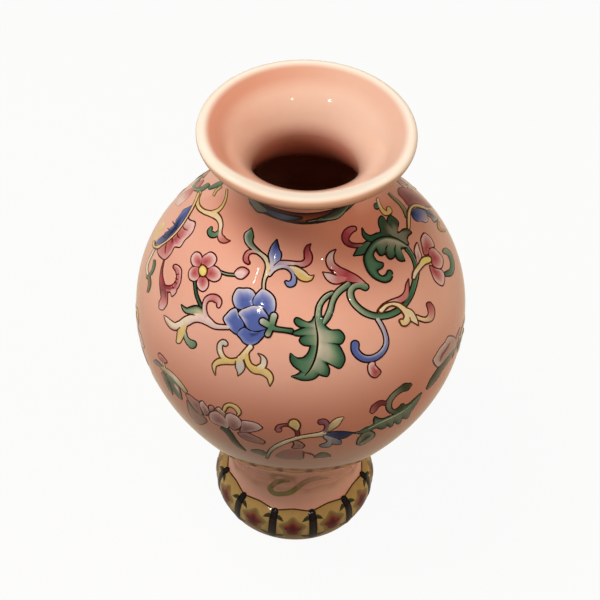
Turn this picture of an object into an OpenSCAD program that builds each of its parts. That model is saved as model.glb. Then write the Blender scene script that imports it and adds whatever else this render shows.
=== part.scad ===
// Baluster vase in enamelled porcelain, in millimetres, +Z up.
// It stands on z = 0 with its axis on Z, and its painted front faces -Y.
// It is thrown in sections: a foot, a lower body, an upper body, a trumpet mouth and a
// rolled lip, with a disc that closes the bottom. Tongued joints filled with slip hold
// the sections together.

/* [Foot] */
// Diameter of the foot where it meets the table
foot_d = 62; // [56:1:65]
// Widest diameter of the foot's rounded side
foot_bulge_d = 66; // [63:1:76]
// Height of the widest point of the foot above the table
foot_bulge_h = 7; // [4:0.5:10]
// Height of the foot, from the table to the waist
foot_h = 23; // [20:0.5:30]
// Width of the bare ring that touches the table
foot_ring_w = 4.5; // [3:0.5:7]
// Depth of the hollow under the foot
recess_depth = 12; // [8:0.5:14]
// Width of the ledge in the foot that carries the base disc
ledge_w = 2; // [1:0.5:4]
// Thickness of that ledge
ledge_t = 2.5; // [1.5:0.5:4]

/* [Body] */
// Diameter of the waist between the foot and the body
waist_d = 53; // [46:0.5:58]
// Height of the lower body, from the waist to the belly
lower_body_h = 87; // [75:1:105]
// Diameter of the belly, the widest part of the vase
belly_d = 127; // [110:1:145]
// Height of the upper body, from the belly to the throat
upper_body_h = 70; // [60:1:85]

/* [Mouth] */
// Outside diameter of the throat, the narrowest part of the neck
throat_d = 45; // [38:0.5:54]
// Height of the trumpet mouth, from the throat to the top of the lip
mouth_h = 20; // [16:0.5:30]
// Outside diameter of the lip
lip_d = 78.5; // [68:0.5:92]
// Thickness of the rolled lip
lip_roll_t = 4.4; // [3.8:0.1:6]
// Slope of the mouth where it runs into the lip, in degrees
flare_angle = 12; // [5:1:25]

/* [Clay] */
// Thickness of the wall
wall = 3.5; // [2.5:0.1:4.5]
// Thickness of the disc that closes the bottom
base_t = 4.5; // [3:0.5:6]
// Height of the tongue in each joint
tongue_h = 3; // [2:0.5:4]
// Thickness of the slip in each joint
slip_t = 0.4; // [0.2:0.1:0.8]

/* [Curves] */
// Length of each curve's straight pull, as a share of its section's height: foot, from the bulge up
bulge_pull = 0.75; // [0.3:0.05:0.9]
// Waist, downwards
waist_pull_down = 0.65; // [0.3:0.05:0.9]
// Waist, upwards
waist_pull_up = 0.23; // [0.1:0.01:0.5]
// Belly, downwards
belly_pull_down = 0.41; // [0.2:0.01:0.6]
// Belly, upwards
belly_pull_up = 0.68; // [0.4:0.01:0.8]
// Throat, downwards
throat_pull_down = 0.34; // [0.1:0.01:0.5]
// Throat, upwards
throat_pull_up = 0.32; // [0.1:0.01:0.6]
// Pull of the flare at the lip, as a share of the mouth's overhang
flare_pull = 0.62; // [0.3:0.01:0.8]

/* [Hidden] */
$fn = 96;

// Straight steps that stand for each curve of the profile
curve_steps = 16;

foot_r = foot_d / 2;
bulge_r = foot_bulge_d / 2;
waist_r = waist_d / 2;
belly_r = belly_d / 2;
throat_r = throat_d / 2;

waist_z = foot_h;
belly_z = waist_z + lower_body_h;
throat_z = belly_z + upper_body_h;
total_h = throat_z + mouth_h;

// Circle at the middle of the rolled lip
roll_r = lip_roll_t / 2;
lip_mid_r = lip_d / 2 - roll_r;
overhang = lip_mid_r - throat_r;

// Seat of the base disc in the foot
seat_r = waist_r - wall;
ledge_r = seat_r - ledge_w;
ledge_z = recess_depth + ledge_t;
disc_z = ledge_z + slip_t;
disc_top_z = disc_z + base_t;
foot_inner_r = foot_r - foot_ring_w;

// Each joint is [height, radius at the middle of the wall]
waist_joint = [waist_z, waist_r - wall / 2];
belly_joint = [belly_z, belly_r - wall / 2];
throat_joint = [throat_z, throat_r - wall / 2];

glaze_pink = [0.87, 0.58, 0.50];
lip_ivory = [0.95, 0.89, 0.80];
band_yellow = [0.74, 0.60, 0.26];
bare_clay = [0.80, 0.74, 0.66];
slip_white = [0.90, 0.87, 0.82];

// Point at t on a cubic curve with end points a and d and handles b and c
function on_curve(c, t) =
    pow(1 - t, 3) * c[0] + 3 * pow(1 - t, 2) * t * c[1] + 3 * (1 - t) * t * t * c[2] + pow(t, 3) * c[3];

// Direction of the curve at t
function along_curve(c, t) =
    pow(1 - t, 2) * (c[1] - c[0]) + 2 * (1 - t) * t * (c[2] - c[1]) + t * t * (c[3] - c[2]);

// Point at t on the wall's other face, square to the curve and a wall's thickness in from it
function inside_curve(c, t) =
    let (dir = along_curve(c, t))
    on_curve(c, t) + wall * [-dir[1], dir[0]] / norm(dir);

function points(c) = [for (i = [0:curve_steps]) on_curve(c, i / curve_steps)];
function inner_points(c) = [for (i = [0:curve_steps]) inside_curve(c, i / curve_steps)];
function backwards(list) = [for (i = [len(list) - 1:-1:0]) list[i]];

// Handle of the flare, back from the lip along its slope
flare_handle = flare_pull * overhang * [cos(flare_angle), sin(flare_angle)];

// Outer face from the table up
foot_curve = [
    [foot_r, 0],
    [(foot_r + bulge_r) / 2, foot_bulge_h / 3],
    [bulge_r, foot_bulge_h * 2 / 3],
    [bulge_r, foot_bulge_h]
];
ankle_curve = [
    [bulge_r, foot_bulge_h],
    [bulge_r, foot_bulge_h + bulge_pull * (waist_z - foot_bulge_h)],
    [waist_r, waist_z - waist_pull_down * (waist_z - foot_bulge_h)],
    [waist_r, waist_z]
];
lower_curve = [
    [waist_r, waist_z],
    [waist_r, waist_z + waist_pull_up * lower_body_h],
    [belly_r, belly_z - belly_pull_down * lower_body_h],
    [belly_r, belly_z]
];
upper_curve = [
    [belly_r, belly_z],
    [belly_r, belly_z + belly_pull_up * upper_body_h],
    [throat_r, throat_z - throat_pull_down * upper_body_h],
    [throat_r, throat_z]
];
mouth_under = [lip_mid_r, total_h - lip_roll_t];
mouth_curve = [
    [throat_r, throat_z],
    [throat_r, throat_z + throat_pull_up * (mouth_h - lip_roll_t)],
    mouth_under - flare_handle,
    mouth_under
];

// Inner face of the mouth, up to the top of the lip
mouth_top = [lip_mid_r, total_h];
mouth_inner_curve = [
    [throat_r - wall, throat_z],
    [throat_r - wall, throat_z + throat_pull_up * mouth_h],
    mouth_top - flare_handle,
    mouth_top
];

// Hollow under the foot, a cove from the foot ring up to the ledge
recess_curve = [
    [foot_inner_r, 0],
    [foot_inner_r, recess_depth / 2],
    [foot_inner_r, recess_depth],
    [ledge_r, recess_depth]
];

// Half section of the whole wall, from the foot ring to the lip
module wall_section() {
    polygon(concat(
        points(foot_curve), points(ankle_curve), points(lower_curve), points(upper_curve), points(mouth_curve),
        backwards(points(mouth_inner_curve)),
        backwards(inner_points(upper_curve)),
        backwards(inner_points(lower_curve)),
        [[seat_r, ledge_z], [ledge_r, ledge_z]],
        backwards(points(recess_curve))
    ));
}

// Half section of all that lies under a joint, whose tongue stands on the wall's inner half
module under_joint(joint, grow) {
    square([belly_r, joint[0] + grow]);
    square([joint[1] + grow, joint[0] + tongue_h + grow]);
}

// Wall between two joints, each half a layer of slip away
module between_joints(low, high) {
    intersection() {
        wall_section();
        difference() {
            under_joint(high, -slip_t / 2);
            under_joint(low, slip_t / 2);
        }
    }
}

module slip_in(joint) {
    color(slip_white)
        rotate_extrude()
            intersection() {
                wall_section();
                difference() {
                    under_joint(joint, slip_t / 2);
                    under_joint(joint, -slip_t / 2);
                }
            }
}

module foot() {
    color(band_yellow)
        rotate_extrude()
            intersection() {
                wall_section();
                under_joint(waist_joint, -slip_t / 2);
            }
}

module base_disc() {
    color(bare_clay)
        translate([0, 0, disc_z])
            cylinder(h = base_t, r = seat_r - slip_t);
}

module lower_body() {
    color(glaze_pink)
        rotate_extrude()
            between_joints(waist_joint, belly_joint);
}

module upper_body() {
    color(glaze_pink)
        rotate_extrude()
            between_joints(belly_joint, throat_joint);
}

module trumpet_mouth() {
    color(glaze_pink)
        rotate_extrude()
            intersection() {
                wall_section();
                difference() {
                    square([lip_mid_r - slip_t, total_h]);
                    under_joint(throat_joint, slip_t / 2);
                }
            }
}

module lip_roll() {
    color(lip_ivory)
        rotate_extrude()
            translate([lip_mid_r, total_h - roll_r])
                intersection() {
                    circle(r = roll_r);
                    translate([0, -roll_r])
                        square([roll_r, lip_roll_t]);
                }
}

module base_slip() {
    color(slip_white)
        difference() {
            translate([0, 0, ledge_z])
                cylinder(h = slip_t + base_t, r = seat_r);
            translate([0, 0, disc_z])
                cylinder(h = base_t + slip_t, r = seat_r - slip_t);
            cylinder(h = disc_z + slip_t, r = ledge_r);
        }
}

module waist_slip() {
    slip_in(waist_joint);
}

module belly_slip() {
    slip_in(belly_joint);
}

module neck_slip() {
    slip_in(throat_joint);
}

module lip_slip() {
    color(slip_white)
        rotate_extrude()
            intersection() {
                wall_section();
                translate([lip_mid_r - slip_t, throat_z])
                    square([slip_t, mouth_h]);
            }
}

foot();
base_disc();
lower_body();
upper_body();
trumpet_mouth();
lip_roll();
base_slip();
waist_slip();
belly_slip();
neck_slip();
lip_slip();
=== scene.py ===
"""Pink porcelain vase with enamelled flower scrolls, dressed around its CAD frame.

Lengths are metres in the frame of the solids. Angles go round the vase's axis from the painted
front, -Y, towards +X, and are in degrees where they are written out. Relief is the height above
the glaze.
"""
import math
from typing import NamedTuple

import bmesh
import bpy
import numpy as np
from bpy.props import FloatProperty, FloatVectorProperty, IntProperty, PointerProperty
from mathutils import Matrix, Vector


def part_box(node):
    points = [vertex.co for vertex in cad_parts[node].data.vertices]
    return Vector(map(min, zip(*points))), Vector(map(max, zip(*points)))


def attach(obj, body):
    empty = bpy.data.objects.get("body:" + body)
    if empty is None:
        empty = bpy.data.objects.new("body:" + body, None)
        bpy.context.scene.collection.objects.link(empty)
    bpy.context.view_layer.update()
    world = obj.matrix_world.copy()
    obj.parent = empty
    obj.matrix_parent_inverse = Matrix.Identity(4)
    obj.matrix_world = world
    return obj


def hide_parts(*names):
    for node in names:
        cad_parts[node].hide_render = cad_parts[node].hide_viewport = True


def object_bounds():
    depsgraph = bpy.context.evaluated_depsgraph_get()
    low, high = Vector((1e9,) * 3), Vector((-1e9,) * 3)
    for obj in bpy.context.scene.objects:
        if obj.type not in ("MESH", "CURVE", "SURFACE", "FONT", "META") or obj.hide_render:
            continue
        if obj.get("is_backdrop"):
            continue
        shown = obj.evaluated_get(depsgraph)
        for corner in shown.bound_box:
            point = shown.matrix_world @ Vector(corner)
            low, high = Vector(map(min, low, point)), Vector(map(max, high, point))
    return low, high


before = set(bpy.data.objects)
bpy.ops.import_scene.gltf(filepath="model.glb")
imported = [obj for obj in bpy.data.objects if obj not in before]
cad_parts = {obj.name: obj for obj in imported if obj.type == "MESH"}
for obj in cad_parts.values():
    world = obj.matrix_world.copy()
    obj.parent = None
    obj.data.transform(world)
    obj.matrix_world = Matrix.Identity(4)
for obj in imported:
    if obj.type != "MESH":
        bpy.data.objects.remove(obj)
CAD_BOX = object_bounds()

bl_info = {
    "name": "Enamelled Porcelain Vase",
    "version": (1, 0, 0),
    "blender": (4, 5, 0),
    "location": "View3D > Sidebar > Vase",
    "description": "Builds a pink porcelain vase with enamelled flower scrolls",
    "category": "Add Mesh",
}

MM = 0.001
BODY = "root"

# Half the slip in each joint of the solids, so that the sections meet at its middle
HALF_SLIP = 0.2 * MM

# Side of the photograph, in pixels
PHOTO_SIDE = 600


def top(node):
    """Highest corner of a node of the frame."""
    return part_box(node)[1]


def bottom(node):
    """Lowest corner of a node of the frame."""
    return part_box(node)[0]


# Settings


def length(name, default, description):
    """A length that the user can set."""
    return FloatProperty(name=name, description=description, default=default, unit="LENGTH", precision=5)


def share(name, default, description):
    """A plain ratio that the user can set."""
    return FloatProperty(name=name, description=description, default=default, subtype="FACTOR")


def colour(name, red, green, blue, description):
    """A colour that the user can set, as it is seen on a screen, from 0 to 255."""
    seen = (red / 255, green / 255, blue / 255)
    return FloatVectorProperty(name=name, description=description, default=seen, subtype="COLOR_GAMMA",
                               min=0, max=1)


def tilt(name, degrees, description):
    """An angle that the user can set."""
    return FloatProperty(name=name, description=description, default=math.radians(degrees), subtype="ANGLE")


class VaseShape(bpy.types.PropertyGroup):
    """Sizes of the vase, most of them read from the solids."""
    foot_r: length("Foot radius", 31 * MM, "Radius of the foot ring on the table")
    bulge_r: length("Foot bulge radius", top("foot")[0], "Widest radius of the foot")
    bulge_z: length("Foot bulge height", 7 * MM, "Height of the foot's widest point")
    ring_w: length("Foot ring width", 4.5 * MM, "Width of the bare ring under the foot")
    recess: length("Recess depth", 12 * MM, "Depth of the hollow under the foot")
    ledge_z: length("Ledge height", bottom("base_slip")[2], "Height of the ledge under the base disc")
    ledge_w: length("Ledge width", 2 * MM, "Width of the ledge under the base disc")
    waist_r: length("Waist radius", top("waist_slip")[0], "Radius of the waist")
    waist_z: length("Waist height", bottom("lower_body")[2] - HALF_SLIP, "Height of the waist")
    belly_r: length("Belly radius", top("lower_body")[0], "Radius of the belly")
    belly_z: length("Belly height", bottom("upper_body")[2] - HALF_SLIP, "Height of the belly")
    throat_r: length("Throat radius", top("neck_slip")[0], "Outside radius of the throat")
    throat_z: length("Throat height", bottom("trumpet_mouth")[2] - HALF_SLIP, "Height of the throat")
    lip_r: length("Lip radius", top("lip_roll")[0], "Outside radius of the lip")
    lip_t: length("Lip thickness", top("lip_roll")[2] - bottom("lip_roll")[2], "Thickness of the lip")
    height: length("Height", top("lip_roll")[2], "Height of the vase")
    wall: length("Wall", 3.5 * MM, "Thickness of the wall")
    flare_angle: tilt("Flare angle", 12, "Slope of the mouth at the lip")
    bulge_pull: share("Bulge pull", 0.75, "Straightness of the foot above its bulge")
    waist_pull_down: share("Waist pull down", 0.65, "Straightness below the waist")
    waist_pull_up: share("Waist pull up", 0.23, "Straightness above the waist")
    belly_pull_down: share("Belly pull down", 0.41, "Straightness below the belly")
    belly_pull_up: share("Belly pull up", 0.68, "Straightness above the belly")
    throat_pull_down: share("Throat pull down", 0.34, "Straightness below the throat")
    throat_pull_up: share("Throat pull up", 0.32, "Straightness above the throat")
    inner_pull: share("Inner pull", 0.4, "Straightness inside the mouth, above the throat")
    flare_pull: share("Flare pull", 0.62, "Straightness of the flare at the lip")
    turns: IntProperty(name="Steps round", description="Steps of each surface round the axis", default=240)
    rows: IntProperty(name="Steps along", description="Steps of each curve of the profile", default=48)


class VaseColours(bpy.types.PropertyGroup):
    """Glazes and clay."""
    pink: colour("Pink glaze", 239, 182, 161, "Ground glaze of the vase")
    # Deep pink of faint glaze clouds and of the throat, also used as painted shade under the belly, under
    # the lip and inside the mouth
    pink_deep: colour("Deep pink glaze", 226, 142, 115, "Ground glaze where it ran thick")
    ivory: colour("Ivory glaze", 255, 243, 229, "Glaze of the rolled lip")
    # Brown inside the body, also mixed into painted shade in the ring inside the lip and the lip's painted
    # shadow line
    inside: colour("Inner glaze", 196, 142, 116, "Brown glaze inside the body")
    clay: colour("Bare clay", 214, 200, 182, "Unglazed clay of the foot ring")
    # Used as painted shade on the rolled lip's underside, mostly at the front
    tan: colour("Tan glaze", 214, 160, 130, "Glaze of the rolled lip's underside")
    peach: colour("Peach glaze", 245, 206, 185, "Glaze in the middle of the mouth")
    floor: colour("Floor", 205, 198, 188, "Surface that the vase stands on")
    floor_front: colour("Floor in front", 84, 74, 64, "That surface where it lies in shade, in front")
    floor_glow: colour("Floor's glow", 255, 236, 205, "That surface as the glaze reflects it")


class EnamelPalette(bpy.types.PropertyGroup):
    """Overglaze enamels, most of them named as a painter would."""
    ink: colour("Ink", 25, 10, 5, "Outlines")
    wine: colour("Wine", 90, 15, 12, "Outlines of pink shapes")
    umber: colour("Umber", 95, 45, 0, "Outlines of yellow shapes")
    night: colour("Night", 34, 29, 32, "Bars of the foot band")
    navy: colour("Navy", 30, 45, 95, "Darkest blue")
    rust: colour("Rust", 150, 75, 40, "Brown red")
    cobalt: colour("Cobalt", 86, 102, 170, "Deep blue")
    periwinkle: colour("Periwinkle", 130, 142, 196, "Middle blue")
    slate: colour("Slate", 95, 100, 130, "Grey blue")
    lilac: colour("Lilac", 175, 160, 185, "Pale violet")
    mauve: colour("Mauve", 150, 100, 115, "Dull violet")
    dusk: colour("Dusk", 186, 138, 126, "Greyish pink")
    mist: colour("Mist", 215, 205, 215, "Pale edge of blue petals")
    forest: colour("Forest", 42, 88, 62, "Deep green")
    leaf: colour("Leaf", 82, 122, 92, "Middle green")
    sage: colour("Sage", 150, 165, 135, "Pale green")
    celadon: colour("Celadon", 194, 186, 168, "Palest green")
    moss: colour("Moss", 132, 134, 114, "Grey green")
    pine: colour("Pine", 62, 66, 42, "Darkest green")
    olive: colour("Olive", 110, 105, 60, "Brownish green")
    khaki: colour("Khaki", 150, 140, 90, "Yellowish green")
    maroon: colour("Maroon", 125, 50, 55, "Darkest pink")
    crimson: colour("Crimson", 175, 65, 80, "Deep pink")
    rose: colour("Rose", 204, 124, 121, "Middle pink")
    blush: colour("Blush", 240, 205, 200, "Palest pink")
    shell: colour("Shell", 225, 195, 190, "Pinkish white")
    yellow: colour("Yellow", 226, 194, 120, "Deep yellow")
    lemon: colour("Lemon", 240, 220, 130, "Bright yellow")
    ochre: colour("Ochre", 205, 168, 104, "Ground of the foot band")
    cream: colour("Cream", 238, 212, 166, "Pale yellow")
    straw: colour("Straw", 238, 222, 194, "Palest yellow")
    pearl: colour("Pearl", 200, 194, 187, "Grey")


class VaseStage(bpy.types.PropertyGroup):
    """Camera, which looks down on the vase."""
    camera_back: length("Camera distance", 498 * MM, "Distance of the camera from the vase's axis")
    camera_up: length("Camera height", 628 * MM, "Height of the camera above the table")
    camera_pitch: tilt("Camera pitch", 46, "How far the camera looks down")
    camera_yaw: tilt("Camera yaw", -0.034, "How far the camera looks to the right")
    camera_roll: tilt("Camera roll", 2.02, "How far the camera leans to the left")
    lens_px: FloatProperty(name="Lens", description="Focal length in pixels of the photograph",
                           default=1856)


def shape():
    """The scene's vase sizes."""
    return bpy.context.scene.vase_shape


def colours():
    """The scene's glaze colours."""
    return bpy.context.scene.vase_colours


def enamels():
    """The scene's enamel colours."""
    return bpy.context.scene.vase_enamels


def stage():
    """The scene's camera settings."""
    return bpy.context.scene.vase_stage


def linear(seen):
    """Screen colours, 0 to 1, as light: the usual two-part curve of a screen's gamma."""
    seen = np.asarray(seen, float)
    return np.where(seen <= 0.04045, seen / 12.92, ((seen + 0.055) / 1.055) ** 2.4)


def rgba(seen):
    """A screen colour as the four numbers of a colour socket."""
    return (*linear(seen), 1.0)


# Materials

# Refraction of glaze and enamel
GLOSS_IOR = 1.52

# Waves of the glaze's faint orange peel, to the metre
PEEL_SCALE = 420

# Clouds of thicker glaze: blotches to the metre, detail, and the noise where they start and are full
GLAZE_CLOUDS = (38, 4, 0.35, 0.75)

# Distances behind the axis between which the front of the mouth ends
FRONT_FADE = (-33 * MM, -16 * MM)

# A Mix node's sockets for its two colours, and the one for their mix
FIRST_COLOUR, SECOND_COLOUR, MIXED_COLOUR = 6, 7, 2

WHITE = (1.0, 1.0, 1.0, 1.0)


class Value:
    """A number in a shader that takes part in arithmetic: each sign adds a Math node."""

    def __init__(self, paint, socket):
        self.paint = paint
        self.socket = socket

    def maths(self, operation, first, second):
        """What a Math node makes of two numbers or values."""
        node = self.paint.node("ShaderNodeMath", {"operation": operation}, {0: first, 1: second})
        return Value(self.paint, node.outputs[0])

    def __add__(self, other):
        return self.maths("ADD", self, other)

    def __rsub__(self, other):
        return self.maths("SUBTRACT", other, self)

    def __mul__(self, other):
        return self.maths("MULTIPLY", self, other)

    def root(self):
        """The square root."""
        return self.maths("SQRT", self, 0.0)

    __radd__ = __add__
    __rmul__ = __mul__


class Paint:
    """A material and its nodes, around one Principled shader."""

    def __init__(self, name):
        self.material = bpy.data.materials.new(name)
        self.material.use_nodes = True
        self.tree = self.material.node_tree
        self.tree.nodes.clear()
        self.output = self.node("ShaderNodeOutputMaterial")
        self.shader = self.node("ShaderNodeBsdfPrincipled")
        self.join(self.output, "Surface", self.shader.outputs[0])

    def node(self, kind, settings=None, inputs=None):
        """Adds a node, makes its settings and then fills or links its sockets."""
        made = self.tree.nodes.new(kind)
        for key, value in (settings or {}).items():
            setattr(made, key, value)
        for key, value in (inputs or {}).items():
            self.join(made, key, value)
        return made

    def join(self, node, key, value):
        """Links a socket to a value, or sets it."""
        if isinstance(value, Value):
            value = value.socket
        if isinstance(value, bpy.types.NodeSocket):
            self.tree.links.new(value, node.inputs[key])
        else:
            node.inputs[key].default_value = value

    def value(self, node, output=0):
        """A node's output as a value for arithmetic."""
        return Value(self, node.outputs[output])

    def place(self):
        """Object coordinates."""
        return self.node("ShaderNodeTexCoord").outputs["Object"]

    def noise(self, scale, detail):
        """Cloudy noise from 0 to 1, scale being its blotches to the metre."""
        made = self.node("ShaderNodeTexNoise", None,
                         {"Vector": self.place(), "Scale": scale, "Detail": detail})
        return self.value(made, "Fac")

    def rise(self, value, low, high):
        """A value mapped smoothly from 0 at low to 1 at high."""
        made = self.node("ShaderNodeMapRange", {"interpolation_type": "SMOOTHSTEP"},
                         {"Value": value, "From Min": low, "From Max": high})
        return self.value(made)

    def clouds(self, scale, detail, low, high):
        """Blotches of noise, from 0 where it is low to 1 where it is high."""
        return self.rise(self.noise(scale, detail), low, high)

    def mix(self, factor, first, second, blend="MIX"):
        """Two colours mixed by a factor, or put together in another of the Mix node's ways."""
        made = self.node("ShaderNodeMix", {"data_type": "RGBA", "blend_type": blend},
                         {"Factor": factor, FIRST_COLOUR: first, SECOND_COLOUR: second})
        return made.outputs[MIXED_COLOUR]

    def darker(self, tint, level):
        """A colour multiplied by a level of grey."""
        return self.mix(1.0, tint, (level, level, level, 1.0), "MULTIPLY")

    def along(self, axis):
        """Distance from the foot's centre along X to the right, Y to the back or Z up."""
        return self.value(self.node("ShaderNodeSeparateXYZ", None, {0: self.place()}), axis)

    def radius(self):
        """Distance from the vase's axis."""
        x, y = self.along("X"), self.along("Y")
        return (x * x + y * y).root()

    def surface(self, base, roughness, bump=None, bump_depth=0.0, **constants):
        """Sets the shader: colour, roughness, a bump from a height in metres, and constants."""
        self.join(self.shader, "Base Color", base)
        self.join(self.shader, "Roughness", roughness)
        for key, value in constants.items():
            self.join(self.shader, key, value)
        if bump is not None:
            node = self.node("ShaderNodeBump", None,
                             {"Strength": 1.0, "Distance": bump_depth, "Height": bump})
            self.join(self.shader, "Normal", node.outputs[0])
        return self.material


def pink_glaze():
    """Glossy pink ground glaze with a slight orange peel.

    It is a deeper pink under the belly and under the lip, most of all on the right, as painted
    shade, and in faint clouds.
    """
    paint = Paint("pink_glaze")
    s = shape()
    height = paint.along("Z")
    # Painted shade: deep pink between the waist and the belly, and under the lip, reaching lower on the
    # right where the lip's shadow falls
    below_belly_shade = 1 - paint.rise(height, s.waist_z + 60 * MM, s.waist_z + 90 * MM)
    above_belly_shade = paint.rise(height, s.belly_z - 2 * MM, s.belly_z + 32 * MM)
    right = paint.rise(paint.along("X"), -5 * MM, 25 * MM)
    lip_shade = paint.rise(height + 8 * MM * right, s.throat_z - 26 * MM, s.throat_z - 4 * MM)
    clouds = paint.clouds(*GLAZE_CLOUDS)
    pale = (below_belly_shade + above_belly_shade * (1 - lip_shade)) * (1 - 0.25 * clouds)
    base = paint.mix(0.12 + 0.88 * pale, rgba(colours().pink_deep), rgba(colours().pink))
    rough = 0.03 + 0.03 * paint.noise(160, 3)
    return paint.surface(base, rough, paint.noise(PEEL_SCALE, 2), 0.002 * MM, IOR=GLOSS_IOR)


def inner_glaze():
    """Glaze inside, with throwing rings below the throat.

    It is ivory on the lip, reaching further in at the front as painted light, browner in a ring
    beside it and deeper pink towards the left as painted shade, peach in the mouth, deep pink at
    the throat and brown below.
    """
    paint = Paint("inner_glaze")
    s = shape()
    deep, peach, brown = (rgba(tint) for tint in (colours().pink_deep, colours().peach, colours().inside))
    height, radius = paint.along("Z"), paint.radius()
    lip_mid = s.lip_r - s.lip_t / 2
    left = 1 - paint.rise(paint.along("X"), -32 * MM, 32 * MM)
    front = 1 - paint.rise(paint.along("Y"), *FRONT_FADE)
    clouds = paint.clouds(*GLAZE_CLOUDS)
    mouth = paint.mix(paint.rise(height, s.throat_z - 5 * MM, s.throat_z + 7 * MM), deep, peach)
    # Painted shade: deeper pink towards the left inside, besides faint clouds
    mouth = paint.mix(0.15 * clouds + 0.25 * left * left, mouth, deep)
    # Painted shade: a browner ring beside the lip, strongest on the left and fading out at the front
    ring = paint.rise(radius, lip_mid - 11 * MM, lip_mid - 5 * MM) * (1 - front) * (0.25 + 0.6 * left)
    mouth = paint.mix(ring, mouth, paint.mix(0.55, brown, deep))
    # Painted light: the lip's ivory reaches further in at the front
    edge = radius + 4 * MM * front
    mouth = paint.mix(paint.rise(edge, lip_mid - 3 * MM, lip_mid), mouth, rgba(colours().ivory))
    depth = paint.rise(height, s.throat_z - 26 * MM, s.throat_z - 4 * MM)
    base = paint.mix(depth, brown, mouth)
    wave = paint.node("ShaderNodeTexWave", {"bands_direction": "Z"},
                      {"Vector": paint.place(), "Scale": 60.0, "Distortion": 0.6})
    rings = paint.value(wave, "Fac") * (1 - depth)
    return paint.surface(base, 0.06 + 0.06 * paint.noise(160, 3), rings, 0.03 * MM, IOR=GLOSS_IOR)


def ivory_glaze():
    """Ivory glaze of the lip, a little warmer in clouds, with painted shade underneath, higher up at the
    front.
    """
    paint = Paint("ivory_glaze")
    s = shape()
    clouds = paint.clouds(70, 3, 0.3, 0.8)
    warm = np.clip(np.array(colours().ivory) * (1.0, 0.965, 0.93), 0, 1)
    ivory = paint.mix(clouds, rgba(colours().ivory), rgba(warm))
    # Painted shade: the lip's underside turns brownish, higher up at the front
    back = paint.rise(paint.along("Y"), *FRONT_FADE)
    level = paint.along("Z") + 0.3 * s.lip_t * back
    upper = paint.rise(level, s.height - 0.24 * s.lip_t, s.height + 0.06 * s.lip_t)
    base = paint.mix(upper, rgba(colours().tan), ivory)
    rough = 0.04 + 0.05 * paint.noise(200, 2)
    return paint.surface(base, rough, paint.noise(PEEL_SCALE, 2), 0.003 * MM, IOR=GLOSS_IOR)


def brown_line():
    """Thin brown line of painted shadow along the lip's underside, broken a little in blotches."""
    paint = Paint("brown_line")
    wash = paint.clouds(300, 3, 0.45, 0.8)
    base = paint.mix(wash, rgba(enamels().umber), rgba(colours().inside))
    return paint.surface(base, 0.12 + 0.1 * paint.noise(500, 2), IOR=GLOSS_IOR)


def bare_clay():
    """Matt unglazed clay with fine grit."""
    paint = Paint("bare_clay")
    dark = np.array(colours().clay) * 0.82
    base = paint.mix(paint.clouds(900, 4, 0.35, 0.7), rgba(colours().clay), rgba(dark))
    return paint.surface(base, 0.75 + 0.15 * paint.noise(500, 3), paint.noise(2200, 3), 0.05 * MM)


def enamel():
    """Glossy raised enamel whose colour each vertex carries, with faint brush clouds."""
    paint = Paint("enamel")
    tint = paint.node("ShaderNodeAttribute", {"attribute_name": "tint"}).outputs["Color"]
    clouds = paint.clouds(500, 3, 0.4, 0.8)
    base = paint.mix(0.16 * clouds, tint, paint.darker(tint, 0.45))
    rough = 0.05 + 0.06 * paint.noise(700, 2)
    return paint.surface(base, rough, paint.noise(900, 2), 0.004 * MM, IOR=GLOSS_IOR)


# Surfaces

# Angles in degrees past which an edge of clay or of enamel stays sharp
SHARP_CLAY = 50
SHARP_ENAMEL = 60


def unit(vectors):
    """Vectors of the same directions, one long."""
    return vectors / np.linalg.norm(vectors, axis=-1, keepdims=True)


def square_to(along):
    """Directions in a plane, each a quarter turn on from the given one."""
    return np.stack([-along[:, 1], along[:, 0]], axis=1)


def round_axis(radius, angle, height):
    """Places round the axis: radius times the angle's sine and minus its cosine, and height."""
    return np.stack([radius * np.sin(angle), -radius * np.cos(angle), height], axis=-1)


def angle_and_height(spots):
    """Angle round the axis and height of places."""
    return np.arctan2(spots[..., 0], -spots[..., 1]), spots[..., 2]


def bezier(handles, count):
    """Points on a cubic curve: end points and handles weighted by the four Bernstein terms."""
    t = np.linspace(0, 1, count + 1)[:, None]
    a, b, c, d = np.asarray(handles, float)
    return (1 - t) ** 3 * a + 3 * (1 - t) ** 2 * t * b + 3 * (1 - t) * t ** 2 * c + t ** 3 * d


def inset(curve, depth):
    """A curve moved square to itself towards the axis, by the depth of the wall."""
    return curve + depth * square_to(unit(np.gradient(curve, axis=0, edge_order=2)))


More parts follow.
